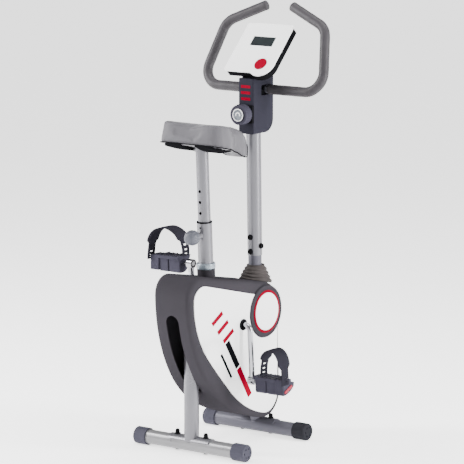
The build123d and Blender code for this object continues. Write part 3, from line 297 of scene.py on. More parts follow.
def rings_to_mesh(rings, cap_start=True, cap_end=True):
    """Quads between equal closed rings of points, with optional fans over the ends."""
    verts = [p for ring in rings for p in ring]
    count = len(rings[0])
    faces = []
    for r in range(len(rings) - 1):
        for i in range(count):
            j = (i + 1) % count
            faces.append((r * count + i, r * count + j, (r + 1) * count + j, (r + 1) * count + i))
    for wanted, row in ((cap_start, 0), (cap_end, len(rings) - 1)):
        if wanted:
            centre = sum((Vector(p) for p in rings[row]), Vector()) / count
            verts.append(centre)
            hub = len(verts) - 1
            for i in range(count):
                faces.append((row * count + i, row * count + (i + 1) % count, hub))
    return verts, faces


def catmull(points, steps):
    """A smooth open run through points, with a number of steps between each two."""
    out = []
    last = len(points) - 1
    for i in range(last):
        p0 = points[max(i - 1, 0)]
        p1 = points[i]
        p2 = points[i + 1]
        p3 = points[min(i + 2, last)]
        for s in range(steps):
            t = s / steps
            out.append(
                0.5 * ((2 * p1) + (p2 - p0) * t + (2 * p0 - 5 * p1 + 4 * p2 - p3) * t * t
                       + (3 * p1 - p0 - 3 * p2 + p3) * t ** 3)
            )
    out.append(points[-1].copy())
    return out


def smoothstep(low, high, x):
    """0 below low, 1 above high, and a smooth rise between them."""
    t = max(0.0, min(1.0, (x - low) / (high - low)))
    return t * t * (3 - 2 * t)


def interpolate(table, x):
    """Straight-line lookup in (x, value) pairs."""
    if x <= table[0][0]:
        return table[0][1]
    for (x0, v0), (x1, v1) in zip(table, table[1:]):
        if x <= x1:
            return v0 + (v1 - v0) * (x - x0) / (x1 - x0)
    return table[-1][1]


def subdivide(obj):
    """One level of smooth subdivision."""
    smooth = obj.modifiers.new("smooth", "SUBSURF")
    smooth.levels = 1
    smooth.render_levels = 1


def apply_modifiers(obj):
    """Bakes the object's modifiers into its mesh."""
    depsgraph = bpy.context.evaluated_depsgraph_get()
    mesh = bpy.data.meshes.new_from_object(obj.evaluated_get(depsgraph), depsgraph=depsgraph)
    obj.modifiers.clear()
    obj.data = mesh


def shade_smooth(obj):
    """Smooth shading on all of the object's faces."""
    for polygon in obj.data.polygons:
        polygon.use_smooth = True


def circle_ring(centre, across, up, radius, count):
    """A closed ring of points round a centre, in the plane of two unit vectors."""
    angles = [2 * pi * k / count for k in range(count)]
    return [centre + across * radius * cos(a) + up * radius * sin(a) for a in angles]


# ---------------------------------------------------------------------------
# Saddle: a padded vinyl cushion with a dip at its back and a nose that droops.
# ---------------------------------------------------------------------------
seat_low, seat_high = (Vector(v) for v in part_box("saddle_cushion"))
SEAT_BACK = seat_low.y
SEAT_HALF = seat_high.x
SEAT_LENGTH = 0.295
# Distances ahead of the saddle's back, with heights from the cushion's highest point.
TOP_LINE = [(0.0, -0.001), (0.028, -0.004), (0.056, -0.009), (0.100, -0.0165), (0.141, -0.0235),
            (0.180, -0.030), (0.205, -0.0345), (0.230, -0.041), (0.249, -0.0485), (0.268, -0.060),
            (0.281, -0.071), (0.290, -0.084), (0.295, -0.094)]
BOTTOM_LINE = [(0.0, -0.0625), (0.060, -0.0755), (0.120, -0.0885), (0.180, -0.102), (0.200, -0.107),
               (0.216, -0.1135), (0.234, -0.1225), (0.250, -0.127), (0.262, -0.128), (0.275, -0.128),
               (0.2765, -0.1085), (0.285, -0.103), (0.295, -0.0955)]
# Distances ahead of the saddle's back, with the half width there.
HALF_WIDTH = [(0.0, 0.0), (0.0003, 0.050), (0.0015, 0.074), (0.005, 0.091), (0.013, 0.1065),
              (0.026, 0.1165), (0.042, 0.1195), (0.058, 0.1180), (0.078, 0.1100), (0.100, 0.0965),
              (0.120, 0.0830), (0.145, 0.0650), (0.170, 0.0495), (0.195, 0.0400), (0.220, 0.0345),
              (0.245, 0.0305), (0.265, 0.0250), (0.280, 0.0180), (0.290, 0.0105), (0.2945, 0.0040),
              (0.295, 0.0)]
# The plan shrinks towards a spine between these two distances ahead of the back.
SPINE_START = 0.085
SPINE_END = 0.262
OUTLINE_STEPS = 60
# The side leans in by its full amount at the back, and by less near the nose.
NOSE_LEAN_CUT = 0.6
SIDE_LEAN_LIMIT = 0.010
DIP_DEPTH = 0.0125
DIP_HALF_WIDTH = 0.042
DIP_REACH = 0.085
LEAST_THICKNESS = 0.0005
WELD_DISTANCE = 0.0006
SADDLE_VOXEL = 0.004
# How far the pad may stand out past the CAD cushion on each side.
SIDE_MARGIN = 0.002


def saddle_outline():
    """Plan outline of the saddle: (x, distance ahead of the back), from back to nose and round."""
    right = []
    for i in range(OUTLINE_STEPS + 1):
        s = SEAT_LENGTH * (0.5 - 0.5 * cos(pi * i / OUTLINE_STEPS))
        right.append((interpolate(HALF_WIDTH, s), s))
    return right + [(-x, s) for x, s in reversed(right[1:-1])]


def pulled_in(x, s, distance):
    """A plan point moved towards the saddle's spine."""
    middle_s = max(SPINE_START, min(SPINE_END, s))
    reach = sqrt(x * x + (s - middle_s) ** 2)
    keep = max(0.04, 1 - distance / max(reach, 0.001))
    return x * keep, middle_s + (s - middle_s) * keep


def saddle_mesh():
    """Rings from under the cushion, up its flared side and over the dished top."""
    plan = [
        # pulled in by, share of the side's height, drop below the top
        (0.060, 0.0, None), (0.025, 0.0, None), (0.005, 0.0, None), (0.0, 0.02, None),
        (0.0, 0.10, None), (0.0022, 0.30, None), (0.0050, 0.52, None), (0.0078, 0.74, None),
        (0.0096, None, 0.0060), (0.0106, None, 0.0024), (0.0130, None, 0.0004), (0.0185, None, 0.0),
        (0.030, None, 0.0006), (0.048, None, 0.0010), (0.070, None, 0.0010), (0.092, None, 0.0008),
    ]
    rings = []
    for distance, share, drop in plan:
        ring = []
        for x, s in saddle_outline():
            lean = 1.0
            if distance < SIDE_LEAN_LIMIT:
                lean = 1 - NOSE_LEAN_CUT * smoothstep(0.15, 0.26, s)
            px, ps = pulled_in(x, s, distance * lean)
            top = seat_high.z + interpolate(TOP_LINE, ps)
            dip = exp(-((px / DIP_HALF_WIDTH) ** 2)) * (1 - smoothstep(0.0, DIP_REACH, ps))
            top -= DIP_DEPTH * dip
            bottom = seat_high.z + interpolate(BOTTOM_LINE, ps)
            z = bottom + (top - bottom) * share if share is not None else top - drop
            ring.append(Vector((px, SEAT_BACK + ps, max(z, bottom + LEAST_THICKNESS))))
        rings.append(ring)
    return rings_to_mesh(rings)


verts, faces = saddle_mesh()
saddle = piece("saddle_pad", verts, faces, "vinyl", None)
weld = bmesh.new()
weld.from_mesh(saddle.data)
bmesh.ops.remove_doubles(weld, verts=weld.verts, dist=WELD_DISTANCE)
weld.to_mesh(saddle.data)
weld.free()

remesh = saddle.modifiers.new("remesh", "REMESH")
remesh.mode = "VOXEL"
remesh.voxel_size = SADDLE_VOXEL
remesh.use_smooth_shade = True
apply_modifiers(saddle)
shade_smooth(saddle)

# The pad swells under pressure, and no point moves further than the cap.
CLOTH_FRAMES = 20
CLOTH_PRESSURE = 4.0
CLOTH_STIFFNESS = 40.0
CLOTH_CAP = 0.003
before = [v.co.copy() for v in saddle.data.vertices]
cloth = saddle.modifiers.new("cloth", "CLOTH")
cloth.settings.use_pressure = True
cloth.settings.uniform_pressure_force = CLOTH_PRESSURE
cloth.settings.effector_weights.gravity = 0.0
cloth.settings.tension_stiffness = CLOTH_STIFFNESS
cloth.settings.compression_stiffness = CLOTH_STIFFNESS
cloth.settings.quality = 5
cloth.point_cache.frame_start = 1
cloth.point_cache.frame_end = CLOTH_FRAMES
for step in range(1, CLOTH_FRAMES + 1):
    scene.frame_set(step)
apply_modifiers(saddle)
shade_smooth(saddle)
for vertex, old in zip(saddle.data.vertices, before):
    move = vertex.co - old
    if move.length > CLOTH_CAP:
        vertex.co = old + move.normalized() * CLOTH_CAP
scene.frame_set(1)

relax = saddle.modifiers.new("relax", "SMOOTH")
relax.factor = 0.5
relax.iterations = 3
apply_modifiers(saddle)
shade_smooth(saddle)
for vertex in saddle.data.vertices:
    vertex.co.x = max(-SEAT_HALF - SIDE_MARGIN, min(SEAT_HALF + SIDE_MARGIN, vertex.co.x))
subdivide(saddle)
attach(saddle, "seat")
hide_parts("saddle_cushion")


def closed_tube(name, points, radius, mat, body, sides=10):
    """A round tube that follows a closed, nearly level run of points."""
    rings = []
    for i, p in enumerate(points):
        forward = (points[(i + 1) % len(points)] - points[i - 1]).normalized()
        across = forward.cross(Vector((0, 0, 1))).normalized()
        rings.append(circle_ring(p, across, across.cross(forward), radius, sides))
    rings.append(rings[0])
    verts, faces = rings_to_mesh(rings, False, False)
    return piece(name, verts, faces, mat, body)


# Welt round the foot of the saddle's cover.
WELT_RADIUS = 0.0017
WELT_LIFT = 0.0012
welt_run = []
for x, s in saddle_outline():
    px, ps = pulled_in(x, s, 0.0008)
    foot = seat_high.z + interpolate(BOTTOM_LINE, ps)
    welt_run.append(Vector((px, SEAT_BACK + ps, foot + WELT_LIFT)))
welt = closed_tube("saddle_welt", welt_run, WELT_RADIUS, "black", "seat")


# ---------------------------------------------------------------------------
# Pleated boot at the foot of the mast.
# ---------------------------------------------------------------------------
boot_low, boot_high = (Vector(v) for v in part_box("mast_boot"))
BOOT_Y = (boot_low.y + boot_high.y) / 2 - 0.001
BOOT_TOP = boot_high.z
BOOT_TOP_Y = BOOT_Y + 0.001
BOOT_SPAN = 0.052
BOOT_FOOT_X = 0.047
BOOT_FOOT_Y = 0.053
BOOT_NECK = 0.0232
BOOT_FOLDS = 4.5
FOLD_DEPTH = 0.0035
BOOT_STEPS = 60
BOOT_SIDES = 72
boot_rings = []
for k in range(BOOT_STEPS + 1):
    t = k / BOOT_STEPS
    ring = []
    for i in range(BOOT_SIDES):
        a = 2 * pi * i / BOOT_SIDES
        sag = 0.0015 * sin(3 * a + 5 * t) + 0.001 * sin(5 * a - 9 * t)
        pleat = 0.5 - 0.5 * cos(2 * pi * t * BOOT_FOLDS)
        grow = FOLD_DEPTH * pleat ** 0.7 * (1 - 0.2 * t)
        spread = (1 - t) ** 0.8
        rx = BOOT_FOOT_X * spread + BOOT_NECK * (1 - spread) + grow
        ry = BOOT_FOOT_Y * spread + BOOT_NECK * (1 - spread) + grow
        tilt = -0.20 * (1 - t)
        y = BOOT_Y + (BOOT_TOP_Y - BOOT_Y) * t + ry * sin(a)
        z = BOOT_TOP - BOOT_SPAN * (1 - t) + (y - BOOT_Y) * tilt + sag * (1 - t) * 0.8
        ring.append(Vector((rx * cos(a), y, z)))
    boot_rings.append(ring)
# The top edge turns in and down round the mast.
top_lip = [Vector((p.x * 0.90, BOOT_TOP_Y + (p.y - BOOT_TOP_Y) * 0.90, BOOT_TOP)) for p in boot_rings[-1]]
boot_rings.append(top_lip)
boot_rings.append([Vector((p.x, p.y, p.z - 0.008)) for p in top_lip])
verts, faces = rings_to_mesh(boot_rings, False, False)
boot = piece("boot_bellows", verts, faces, "boot", "frame")
subdivide(boot)
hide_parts("mast_boot")


# ---------------------------------------------------------------------------
# Foam grips, as long as the bar's bent run.
# ---------------------------------------------------------------------------
def rounded_path(corners, radius, steps):
    """Straight runs joined by arcs of the given radius."""
    out = [corners[0]]
    for a, b, c in zip(corners, corners[1:], corners[2:]):
        u = (a - b).normalized()
        v = (c - b).normalized()
        half = u.angle(v) / 2
        reach = radius / tan(half)
        start = b + u * reach
        end = b + v * reach
        centre = b + (u + v).normalized() * (radius / sin(half))
        for s in range(steps + 1):
            t = s / steps
            angle = (pi - 2 * half) * t
            axis = (start - centre).cross(end - centre).normalized()
            out.append(centre + Matrix.Rotation(angle, 3, axis) @ (start - centre))
    out.append(corners[-1])
    return out


BAR_TILT = radians(21.4)
BAR_BEND_RADIUS = 0.055
BAR_ORIGIN = Vector((0, CRANK_Y + 0.201, 1.061))


def bar_point(x, up):
    """A point in the handlebar's tilted plane, up from its lower run."""
    return BAR_ORIGIN + Vector((x, up * sin(BAR_TILT), up * cos(BAR_TILT)))


SIDES = (("left", -1), ("right", 1))
GRIP_SIDES = 28
GRIP_STEP = 0.006
BAR_ACROSS = Vector((0, cos(BAR_TILT), -sin(BAR_TILT)))
for side, sign in SIDES:
    corners = [bar_point(sign * 0.030, 0), bar_point(sign * 0.228, 0),
               bar_point(sign * 0.184, 0.202), bar_point(sign * 0.051, 0.261)]
    path = rounded_path(corners, BAR_BEND_RADIUS, 14)
    dense = []
    for a, b in zip(path, path[1:]):
        parts = max(1, int((b - a).length / GRIP_STEP))
        dense += [a.lerp(b, k / parts) for k in range(parts)]
    dense.append(path[-1])
    tip = (dense[-1] - dense[-2]).normalized()
    root = (dense[0] - dense[1]).normalized()
    # Points along the grip, each with the grip's radius there.
    profile = [(dense[0], 0.0137), (dense[0] - root * 0.0006, 0.0150)]
    for i, p in enumerate(dense[1:]):
        profile.append((p, 0.0153 + 0.00015 * sin(i * 0.9)))
    profile += [(dense[-1] + tip * 0.002, 0.0151), (dense[-1] + tip * 0.0035, 0.0138),
                (dense[-1] + tip * 0.004, 0.0110), (dense[-1] + tip * 0.004, 0.0040)]
    rings = []
    for i, (p, radius) in enumerate(profile):
        ahead = profile[min(i + 1, len(profile) - 1)][0]
        behind = profile[max(i - 1, 0)][0]
        forward = ahead - behind
        if forward.length < 1e-6:
            forward = tip.copy()
        forward.normalize()
        lift = BAR_ACROSS.cross(forward).normalized()
        rings.append(circle_ring(p, BAR_ACROSS, lift, radius, GRIP_SIDES))
    verts, faces = rings_to_mesh(rings, False, True)
    grip = piece(f"foam_grip_{side}", verts, faces, "foam", "frame")
    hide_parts("grips")


# ---------------------------------------------------------------------------
# Lock knob: a fluted bulb with a domed end.
# ---------------------------------------------------------------------------
knob_box = [Vector(v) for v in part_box("lock_knob")]
KNOB_LEAN = radians(3.04)
knob_axis = Vector((0, -cos(KNOB_LEAN), -sin(KNOB_LEAN)))
knob_up = Vector((0, -sin(KNOB_LEAN), cos(KNOB_LEAN)))
knob_base = Vector((0, knob_box[1].y - 0.0012, (knob_box[0].z + knob_box[1].z) / 2 + 0.0011))
KNOB_SIDES = 96
KNOB_FLUTES = 8
FLUTE_DEPTH = 0.0016
# Distance from the knob's foot, radius there, and share of the flutes' full depth.
KNOB_PROFILE = ((0.0, 0.0100, 0.0), (0.0004, 0.0155, 0.0), (0.003, 0.0192, 0.2), (0.008, 0.0219, 0.7),
                (0.014, 0.0230, 1.0), (0.020, 0.0229, 1.0), (0.026, 0.0216, 0.9), (0.031, 0.0194, 0.7),
                (0.0350, 0.0165, 0.4), (0.0378, 0.0130, 0.2), (0.0391, 0.0090, 0.0), (0.0397, 0.0050, 0.0))
rings = []
for along, radius, flute in KNOB_PROFILE:
    ring = []
    for k in range(KNOB_SIDES):
        a = 2 * pi * k / KNOB_SIDES
        r = radius - FLUTE_DEPTH * flute * max(0.0, cos(KNOB_FLUTES * a)) ** 2
        ring.append(knob_base + knob_axis * along + Vector((1, 0, 0)) * r * cos(a) + knob_up * r * sin(a))
    rings.append(ring)
verts, faces = rings_to_mesh(rings, True, True)
pull_knob = piece("pull_knob", verts, faces, "knob", "seat_lock")
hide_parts("lock_knob")


# ---------------------------------------------------------------------------
# Pedals: tread plate with studs and teeth, two hanging blocks, an outer lobe and a strap.
# ---------------------------------------------------------------------------
def plate(outline, low, high, bevel, along_x=False):
    """A pedal part: a prism from an outline of (x, y), or of (y, z) when it runs along X."""
    count = len(outline)
    verts = []
    for level in (low, high):
        for a, b in outline:
            verts.append((level, a, b) if along_x else (a, b, level))
    faces = [tuple(range(count)), tuple(range(count, 2 * count))]
    for i in range(count):
        j = (i + 1) % count
        faces.append((i, j, count + j, count + i))
    obj = piece("pedal_part", verts, faces, "pedal", None, smooth=False)
    if bevel:
        ease(obj, bevel, 3, 30)
    return obj


def join(objs, name):
    """Joins several fresh pieces of one material into the first, modifiers baked."""
    base = bmesh.new()
    for obj in objs:
        apply_modifiers(obj)
        base.from_mesh(obj.data)
    mesh = bpy.data.meshes.new(name)
    base.to_mesh(mesh)
    base.free()
    mesh.materials.append(objs[0].data.materials[0])
    for obj in objs[1:]:
        bpy.data.objects.remove(obj)
    objs[0].data = mesh
    objs[0].name = name
    return objs[0]


def rounded_rect(x0, x1, y0, y1, r, steps=5):
    """Closed rounded rectangle as a list of points."""
    out = []
    for cx, cy, start in ((x1 - r, y1 - r, 0), (x0 + r, y1 - r, 90), (x0 + r, y0 + r, 180),
                          (x1 - r, y0 + r, 270)):
        for s in range(steps + 1):
            a = radians(start + 90 * s / steps)
            out.append((cx + r * cos(a), cy + r * sin(a)))
    return out


def regular(x, y, radius, count):
    """A regular polygon as a list of points."""
    angles = [2 * pi * k / count for k in range(count)]
    return [(x + radius * cos(a), y + radius * sin(a)) for a in angles]


# Heights are above the pedal's eye, and distances along X are from the machine's middle.
EYE_HEIGHT = 0.031
TREAD = 0.020
INNER_X = 0.139
OUTER_X = 0.220
LOBE_X = 0.250
BLOCK = [(-0.0236, TREAD - 0.009), (-0.0222, -0.024), (-0.0190, -0.0300), (-0.0100, -0.0308),
         (0.0020, -0.0302), (0.0130, -0.0262), (0.0215, -0.0190), (0.0262, -0.0080), (0.0275, TREAD - 0.009)]
CORE = [(y * 0.84, z * 0.88 + 0.001) for y, z in BLOCK]
LOBE = [(-0.0275, TREAD - 0.0005), (-0.0275, -0.0276), (-0.0120, -0.0268), (0.0040, -0.0216),
        (0.0180, -0.0135), (0.0265, -0.0050), (0.0278, 0.0010), (0.0278, 0.0076), (0.0125, 0.0080),
        (0.0125, TREAD - 0.0005)]
RIDGE = [(-0.0270, TREAD + 0.0015), (-0.0270, TREAD - 0.004), (0.0120, TREAD - 0.004),
         (0.0120, TREAD + 0.0015)]
STUD_ROWS = 5
STUD_MIDDLE_X = 0.184
STUD_RADIUS = 0.0027
TEETH = 9
TOOTH_PITCH = 0.0065

# The strap's middle line, as (x, height): up from the inside, over the foot and down outside.
STRAP_RUN = [(0.1467, TREAD), (0.1487, 0.048), (0.1628, 0.0848), (0.1940, 0.1043), (0.2257, 0.0972),
             (0.2441, 0.0703), (0.2513, TREAD), (0.2513, 0.0045)]
STRAP_HALF_WIDTH = 0.0175
STRAP_PAD_EXTRA = 0.0110
STRAP_CROWN = 0.0006
STRAP_COLUMNS = 17
STRAP_THICKNESS = 0.0024


def strap_centre(x):
    """How far ahead of the pedal's eye the slanted strap's middle lies."""
    return 0.015 - (x - 0.148) * 36 / 103


def strap_has_slot(row, share, column):
    """Whether a face of the strap's grid is open, for the adjusting slots near its two ends."""
    inner = share < 0.17 and row % 6 in (3, 4)
    outer = 0.80 < share < 0.93 and row % 4 == 1
    return (inner or outer) and 5 <= column <= STRAP_COLUMNS - 7


for side, sign in SIDES:
    body = f"pedal_{side}"
    eye_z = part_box(body)[0][2] + EYE_HEIGHT

    def at(points):
        """An outline seen from above, at this pedal."""
        return [(sign * x, y + CRANK_Y) for x, y in points]

    def up(points):
        """An outline seen from the side, at this pedal."""
        return [(y + CRANK_Y, z + eye_z) for y, z in points]

    top = eye_z + TREAD
    deck = rounded_rect(INNER_X, OUTER_X + 0.001, -0.030, 0.030, 0.005)
    parts = [plate(at(deck), top - 0.0095, top, 0.0018)]
    for x0, x1 in ((INNER_X + 0.003, INNER_X + 0.0415), (INNER_X + 0.0465, OUTER_X)):
        parts.append(plate(up(BLOCK), sign * x0, sign * x1, 0.002, True))
    parts.append(plate(up(CORE), sign * (INNER_X + 0.036), sign * (INNER_X + 0.052), 0.001, True))
    parts.append(plate(up(LOBE), sign * (OUTER_X - 0.002), sign * (LOBE_X - 0.0002), 0.0022, True))
    for x0 in (OUTER_X + 0.006, OUTER_X + 0.016):
        parts.append(plate(up(RIDGE), sign * x0, sign * (x0 + 0.004), 0.001, True))
    for row in range(STUD_ROWS):
        for column in range(STUD_ROWS):
            x = STUD_MIDDLE_X + (column - 2) * 0.015
            stud = regular(x, (row - 2) * 0.011, STUD_RADIUS, 10)
            parts.append(plate(at(stud), top - 0.001, top + 0.0026, 0.0007))
    for k in range(TEETH):
        y0 = -0.0255 + k * TOOTH_PITCH
        tooth = [(y0, TREAD - 0.001), (y0 + 0.0035, TREAD - 0.001), (y0 + 0.0028, TREAD + 0.0022),
                 (y0 + 0.0007, TREAD + 0.0022)]
        for x0, x1 in ((INNER_X + 0.0005, INNER_X + 0.0035), (OUTER_X - 0.003, OUTER_X)):
            parts.append(plate(up(tooth), sign * x0, sign * x1, 0.0, True))
    barrel = regular(0, 0, 0.0115, 24)
    parts.append(plate(up(barrel), sign * (INNER_X + 0.0002), sign * (INNER_X + 0.008), 0.001, True))
    pedal_piece = join(parts, f"pedal_body_{side}")
    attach(pedal_piece, body)
    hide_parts(f"pedal_{side}")

    # Strap: it slants from the front inside to the back outside, with a wide pad at its top.
    dense = catmull([Vector((x, 0, z)) for x, z in STRAP_RUN], 14)
    total = len(dense) - 1
    verts = []
    faces = []
    for i, p in enumerate(dense):
        t = i / total
        pad = smoothstep(0.205, 0.235, t) - smoothstep(0.735, 0.765, t)
        wide = STRAP_HALF_WIDTH + STRAP_PAD_EXTRA * pad
        ahead = dense[min(i + 1, total)] - dense[max(i - 1, 0)]
        out = Vector((-ahead.z, 0, ahead.x)).normalized()
        for k in range(STRAP_COLUMNS):
            place = 2 * k / (STRAP_COLUMNS - 1) - 1
            q = p + out * STRAP_CROWN * (1 - place**2)
            verts.append((sign * q.x, CRANK_Y + strap_centre(p.x) + wide * place, eye_z + q.z))
    for i in range(total):
        for k in range(STRAP_COLUMNS - 1):
            if not strap_has_slot(i, (i + 0.5) / total, k):
                a = i * STRAP_COLUMNS + k
                faces.append((a, a + 1, a + STRAP_COLUMNS + 1, a + STRAP_COLUMNS))
    strap = piece(f"strap_band_{side}", verts, faces, "strap", body)
    solid = strap.modifiers.new("thickness", "SOLIDIFY")
    solid.thickness = STRAP_THICKNESS
    solid.offset = 0.0
    ease(strap, 0.0004, 2, 40)
    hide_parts(f"pedal_strap_{side}")


# ---------------------------------------------------------------------------
# Plain accents in place of printed marks.
# ---------------------------------------------------------------------------
ACCENT_HEIGHT = 0.0004
ACCENT_STEPS = 14


def raised_bar(name, centre, along, across, size, mat, normal, project=None):
    """A thin slanted bar of a (length, width), lying on a surface of the frame."""
    length, width = size
    near_a, near_b, far_a, far_b = [centre + along * (s * length / 2) + across * (w * width / 2)
                                    for s in (-1, 1) for w in (-1, 1)]
    verts = []
    for i in range(ACCENT_STEPS + 1):
        t = i / ACCENT_STEPS
        for lift in (0.0, ACCENT_HEIGHT):
            for p, q in ((near_a, far_a), (near_b, far_b)):
                v = p.lerp(q, t)
                if project:
                    v = project(v)
                verts.append(v + normal * lift)
    faces = []
    for i in range(ACCENT_STEPS):
        k = i * 4
        n = k + 4
        faces += [(k, k + 1, n + 1, n), (k + 2, n + 2, n + 3, k + 3), (k, n, n + 2, k + 2),
                  (k + 1, k + 3, n + 3, n + 1)]
    end = ACCENT_STEPS * 4
    faces += [(0, 2, 3, 1), (end, end + 1, end + 3, end + 2)]
    return piece(name, verts, faces, mat, "frame", smooth=False)


# Three places on the shroud's crowned side: distance from the middle, and ahead of the crank.
CROWN = ((0.064, -0.265), (0.078, -0.010), (0.069, 0.215))
PANEL_THICK = 0.0025


def crown_x(y):
    """Outer face of the white panel at a distance y ahead of the crank axle, in metres."""
    (x1, y1), (x2, y2), (x3, y3) = CROWN
    d = 2 * (x1 * (y2 - y3) + x2 * (y3 - y1) + x3 * (y1 - y2))
    ux = ((x1**2 + y1**2) * (y2 - y3) + (x2**2 + y2**2) * (y3 - y1) + (x3**2 + y3**2) * (y1 - y2)) / d
    uy = ((x1**2 + y1**2) * (x3 - x2) + (x2**2 + y2**2) * (x1 - x3) + (x3**2 + y3**2) * (x2 - x1)) / d
    r = sqrt((x1 - ux) ** 2 + (y1 - uy) ** 2)
    return ux + sqrt(r * r - (y - uy) ** 2) + PANEL_THICK


# Name, distance ahead of the crank axle, height, (length, width), material and slot.
STRIPES = (
    ("stripe_dark", -0.052, 0.292, (0.098, 0.021), "dark_mark", "black_plastic"),
    ("stripe_red", 0.006, 0.199, (0.110, 0.021), "red", "red_trim"),
    ("stripe_thin", -0.082, 0.262, (0.092, 0.009), "dark_mark", "black_plastic"),
)
SLOPE = Vector((0, cos(radians(-58)), sin(radians(-58))))
LEAN = Vector((0, cos(radians(32)), sin(radians(32))))
for side, sign in SIDES:
    def on_panel(v, sign=sign):
        """The point on this side's white panel that lies beside v."""
        return Vector((sign * (crown_x(v.y - CRANK_Y) + 0.0002), v.y, v.z))

    out = Vector((sign, 0, 0))
    for k in range(3):
        centre = Vector((0, CRANK_Y - 0.124 + 0.026 * k, 0.412 - 0.030 * k))
        accent = raised_bar(f"accent_{side}_{k + 1}", centre, LEAN, SLOPE, (0.056, 0.0135), "red", out,
                            on_panel)
    for name, ahead, height, size, mat, slot in STRIPES:
        stripe = raised_bar(f"{name}_{side}", Vector((0, CRANK_Y + ahead, height)), SLOPE, LEAN, size, mat,
                            out, on_panel)

head_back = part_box("head_casing_right")[0][1]
for k in range(3):
    centre = Vector((-0.001, head_back - 0.0002, 1.074 - 0.0185 * k))
    mark = raised_bar(f"head_accent_{k + 1}", centre, Vector((1, 0, 0)), Vector((0, 0, 1)), (0.034, 0.0085),
                      "red", Vector((0, -1, 0)))


# ---------------------------------------------------------------------------
# Tension knob's dial and the console's details.
# ---------------------------------------------------------------------------
knob_low, knob_high = (Vector(v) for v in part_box("tension_knob"))
KNOB = Vector((0, knob_low.y, (knob_low.z + knob_high.z) / 2))


def dial_ring(name, inner, outer, depth, mat, start=0.0, end=360.0, steps=72):
    """A flat ring, or part of one between two angles in degrees, on the knob's face."""
    verts = []
    faces = []
    whole = end - start >= 360
    count = steps if whole else steps + 1
    for i in range(count):
        a = radians(start + (end - start) * i / steps)
        for r in (inner, outer):
            for y in (0.0, -depth):
                verts.append((KNOB.x + r * sin(a), KNOB.y + y, KNOB.z + r * cos(a)))
    for i in range(steps):
        p = i * 4
        q = ((i + 1) % count) * 4
        faces += [(p, q, q + 2, p + 2), (p + 1, p + 3, q + 3, q + 1), (p, p + 1, q + 1, q),
                  (p + 2, q + 2, q + 3, p + 3)]
    return piece(name, verts, faces, mat, "tension_knob", smooth=False)


plate_piece = dial_ring("dial_plate", 0.0005, 0.0188, 0.0005, "dial")
arc = dial_ring("dial_arc", 0.0055, 0.0085, 0.0009, "white", -110, 110)
dial_rim = dial_ring("dial_rim", 0.0168, 0.0190, 0.0010, "white")
TICKS = 9
TICK_PITCH = 30
for k in range(TICKS):
    tick_angle = -120 + TICK_PITCH * k
    tick = dial_ring(f"dial_tick_{k + 1}", 0.0122, 0.0155, 0.0009, "dark_mark", tick_angle - 2.5,
                     tick_angle + 2.5, 3)

# The console's face slopes down and back from the top edge of its front plate.
face_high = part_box("console_front")[1]
TILT = radians(46)
FACE_TOP = Vector((0, face_high[1], face_high[2]))
FACE_DOWN = Vector((0, -cos(TILT), -sin(TILT)))
FACE_OUT = Vector((0, -sin(TILT), cos(TILT)))


def on_face(x, down, lift=0.0):
    """A point on the console's face: across, down from its top edge, and out of it."""
    return Vector((x, 0, 0)) + FACE_TOP + FACE_DOWN * down + FACE_OUT * lift


# Raised frame round the display window.
BEZEL_WIDTH = 0.0035
BEZEL_HEIGHT = 0.0008
BEZEL_CORNER = 0.003
BEZEL_LEFT, BEZEL_RIGHT, BEZEL_TOP, BEZEL_LOW = -0.0385, 0.0425, 0.0505, 0.0855
outer = rounded_rect(BEZEL_LEFT - BEZEL_WIDTH, BEZEL_RIGHT + BEZEL_WIDTH, BEZEL_TOP - BEZEL_WIDTH,
                     BEZEL_LOW + BEZEL_WIDTH, BEZEL_CORNER + BEZEL_WIDTH)
inner = rounded_rect(BEZEL_LEFT, BEZEL_RIGHT, BEZEL_TOP, BEZEL_LOW, BEZEL_CORNER)
bezel_rings = [[on_face(x, down, lift) for x, down in ring]
               for ring, lift in ((outer, -0.0004), (outer, BEZEL_HEIGHT), (inner, BEZEL_HEIGHT),
                                  (inner, -0.002))]
verts, faces = rings_to_mesh(bezel_rings, False, False)
bezel = piece("display_bezel", verts, faces, "white", "frame", smooth=False)

# White rim round the button, as (radius, lift out of the face), and a plain bar above the display.
BUTTON_X = 0.036
BUTTON_DOWN = 0.153
RIM_PROFILE = ((0.0214, -0.0006), (0.0216, 0.0011), (0.0230, 0.0016), (0.0244, 0.0011), (0.0250, -0.0002))
rim_rings = [[on_face(x, down, lift) for x, down in regular(BUTTON_X, BUTTON_DOWN, radius, 64)]
             for radius, lift in RIM_PROFILE]
verts, faces = rings_to_mesh(rim_rings, False, False)
rim = piece("button_rim", verts, faces, "white", "frame")
accent = raised_bar("console_accent", on_face(0.002, 0.036), Vector((1, 0, 0)), FACE_DOWN, (0.066, 0.006),
                    "dark_mark", FACE_OUT)

# Four plain figures on the display, each with six dark segments.
DIGITS = 4
DIGIT_PITCH = 0.0135
DIGIT_WIDTH = 0.009
DIGIT_TOP = 0.060
DIGIT_LOW = 0.078
DIGIT_MIDDLE = (DIGIT_TOP + DIGIT_LOW) / 2
STROKE = 0.0014
PAIR_GAP = 0.004
SEGMENT_DEPTH = -0.00110
SEGMENT_THICK = 0.0002


def segment(name, x0, x1, down0, down1):
    """One plain dark segment of the display."""
    verts = [on_face(x, down, SEGMENT_DEPTH + lift) for lift in (0.0, SEGMENT_THICK)
             for x, down in ((x0, down0), (x1, down0), (x1, down1), (x0, down1))]
    faces = [(0, 1, 2, 3), (4, 5, 6, 7), (0, 1, 5, 4), (1, 2, 6, 5), (2, 3, 7, 6), (3, 0, 4, 7)]
    obj = piece(name, verts, faces, "dark_mark", "frame", smooth=False)


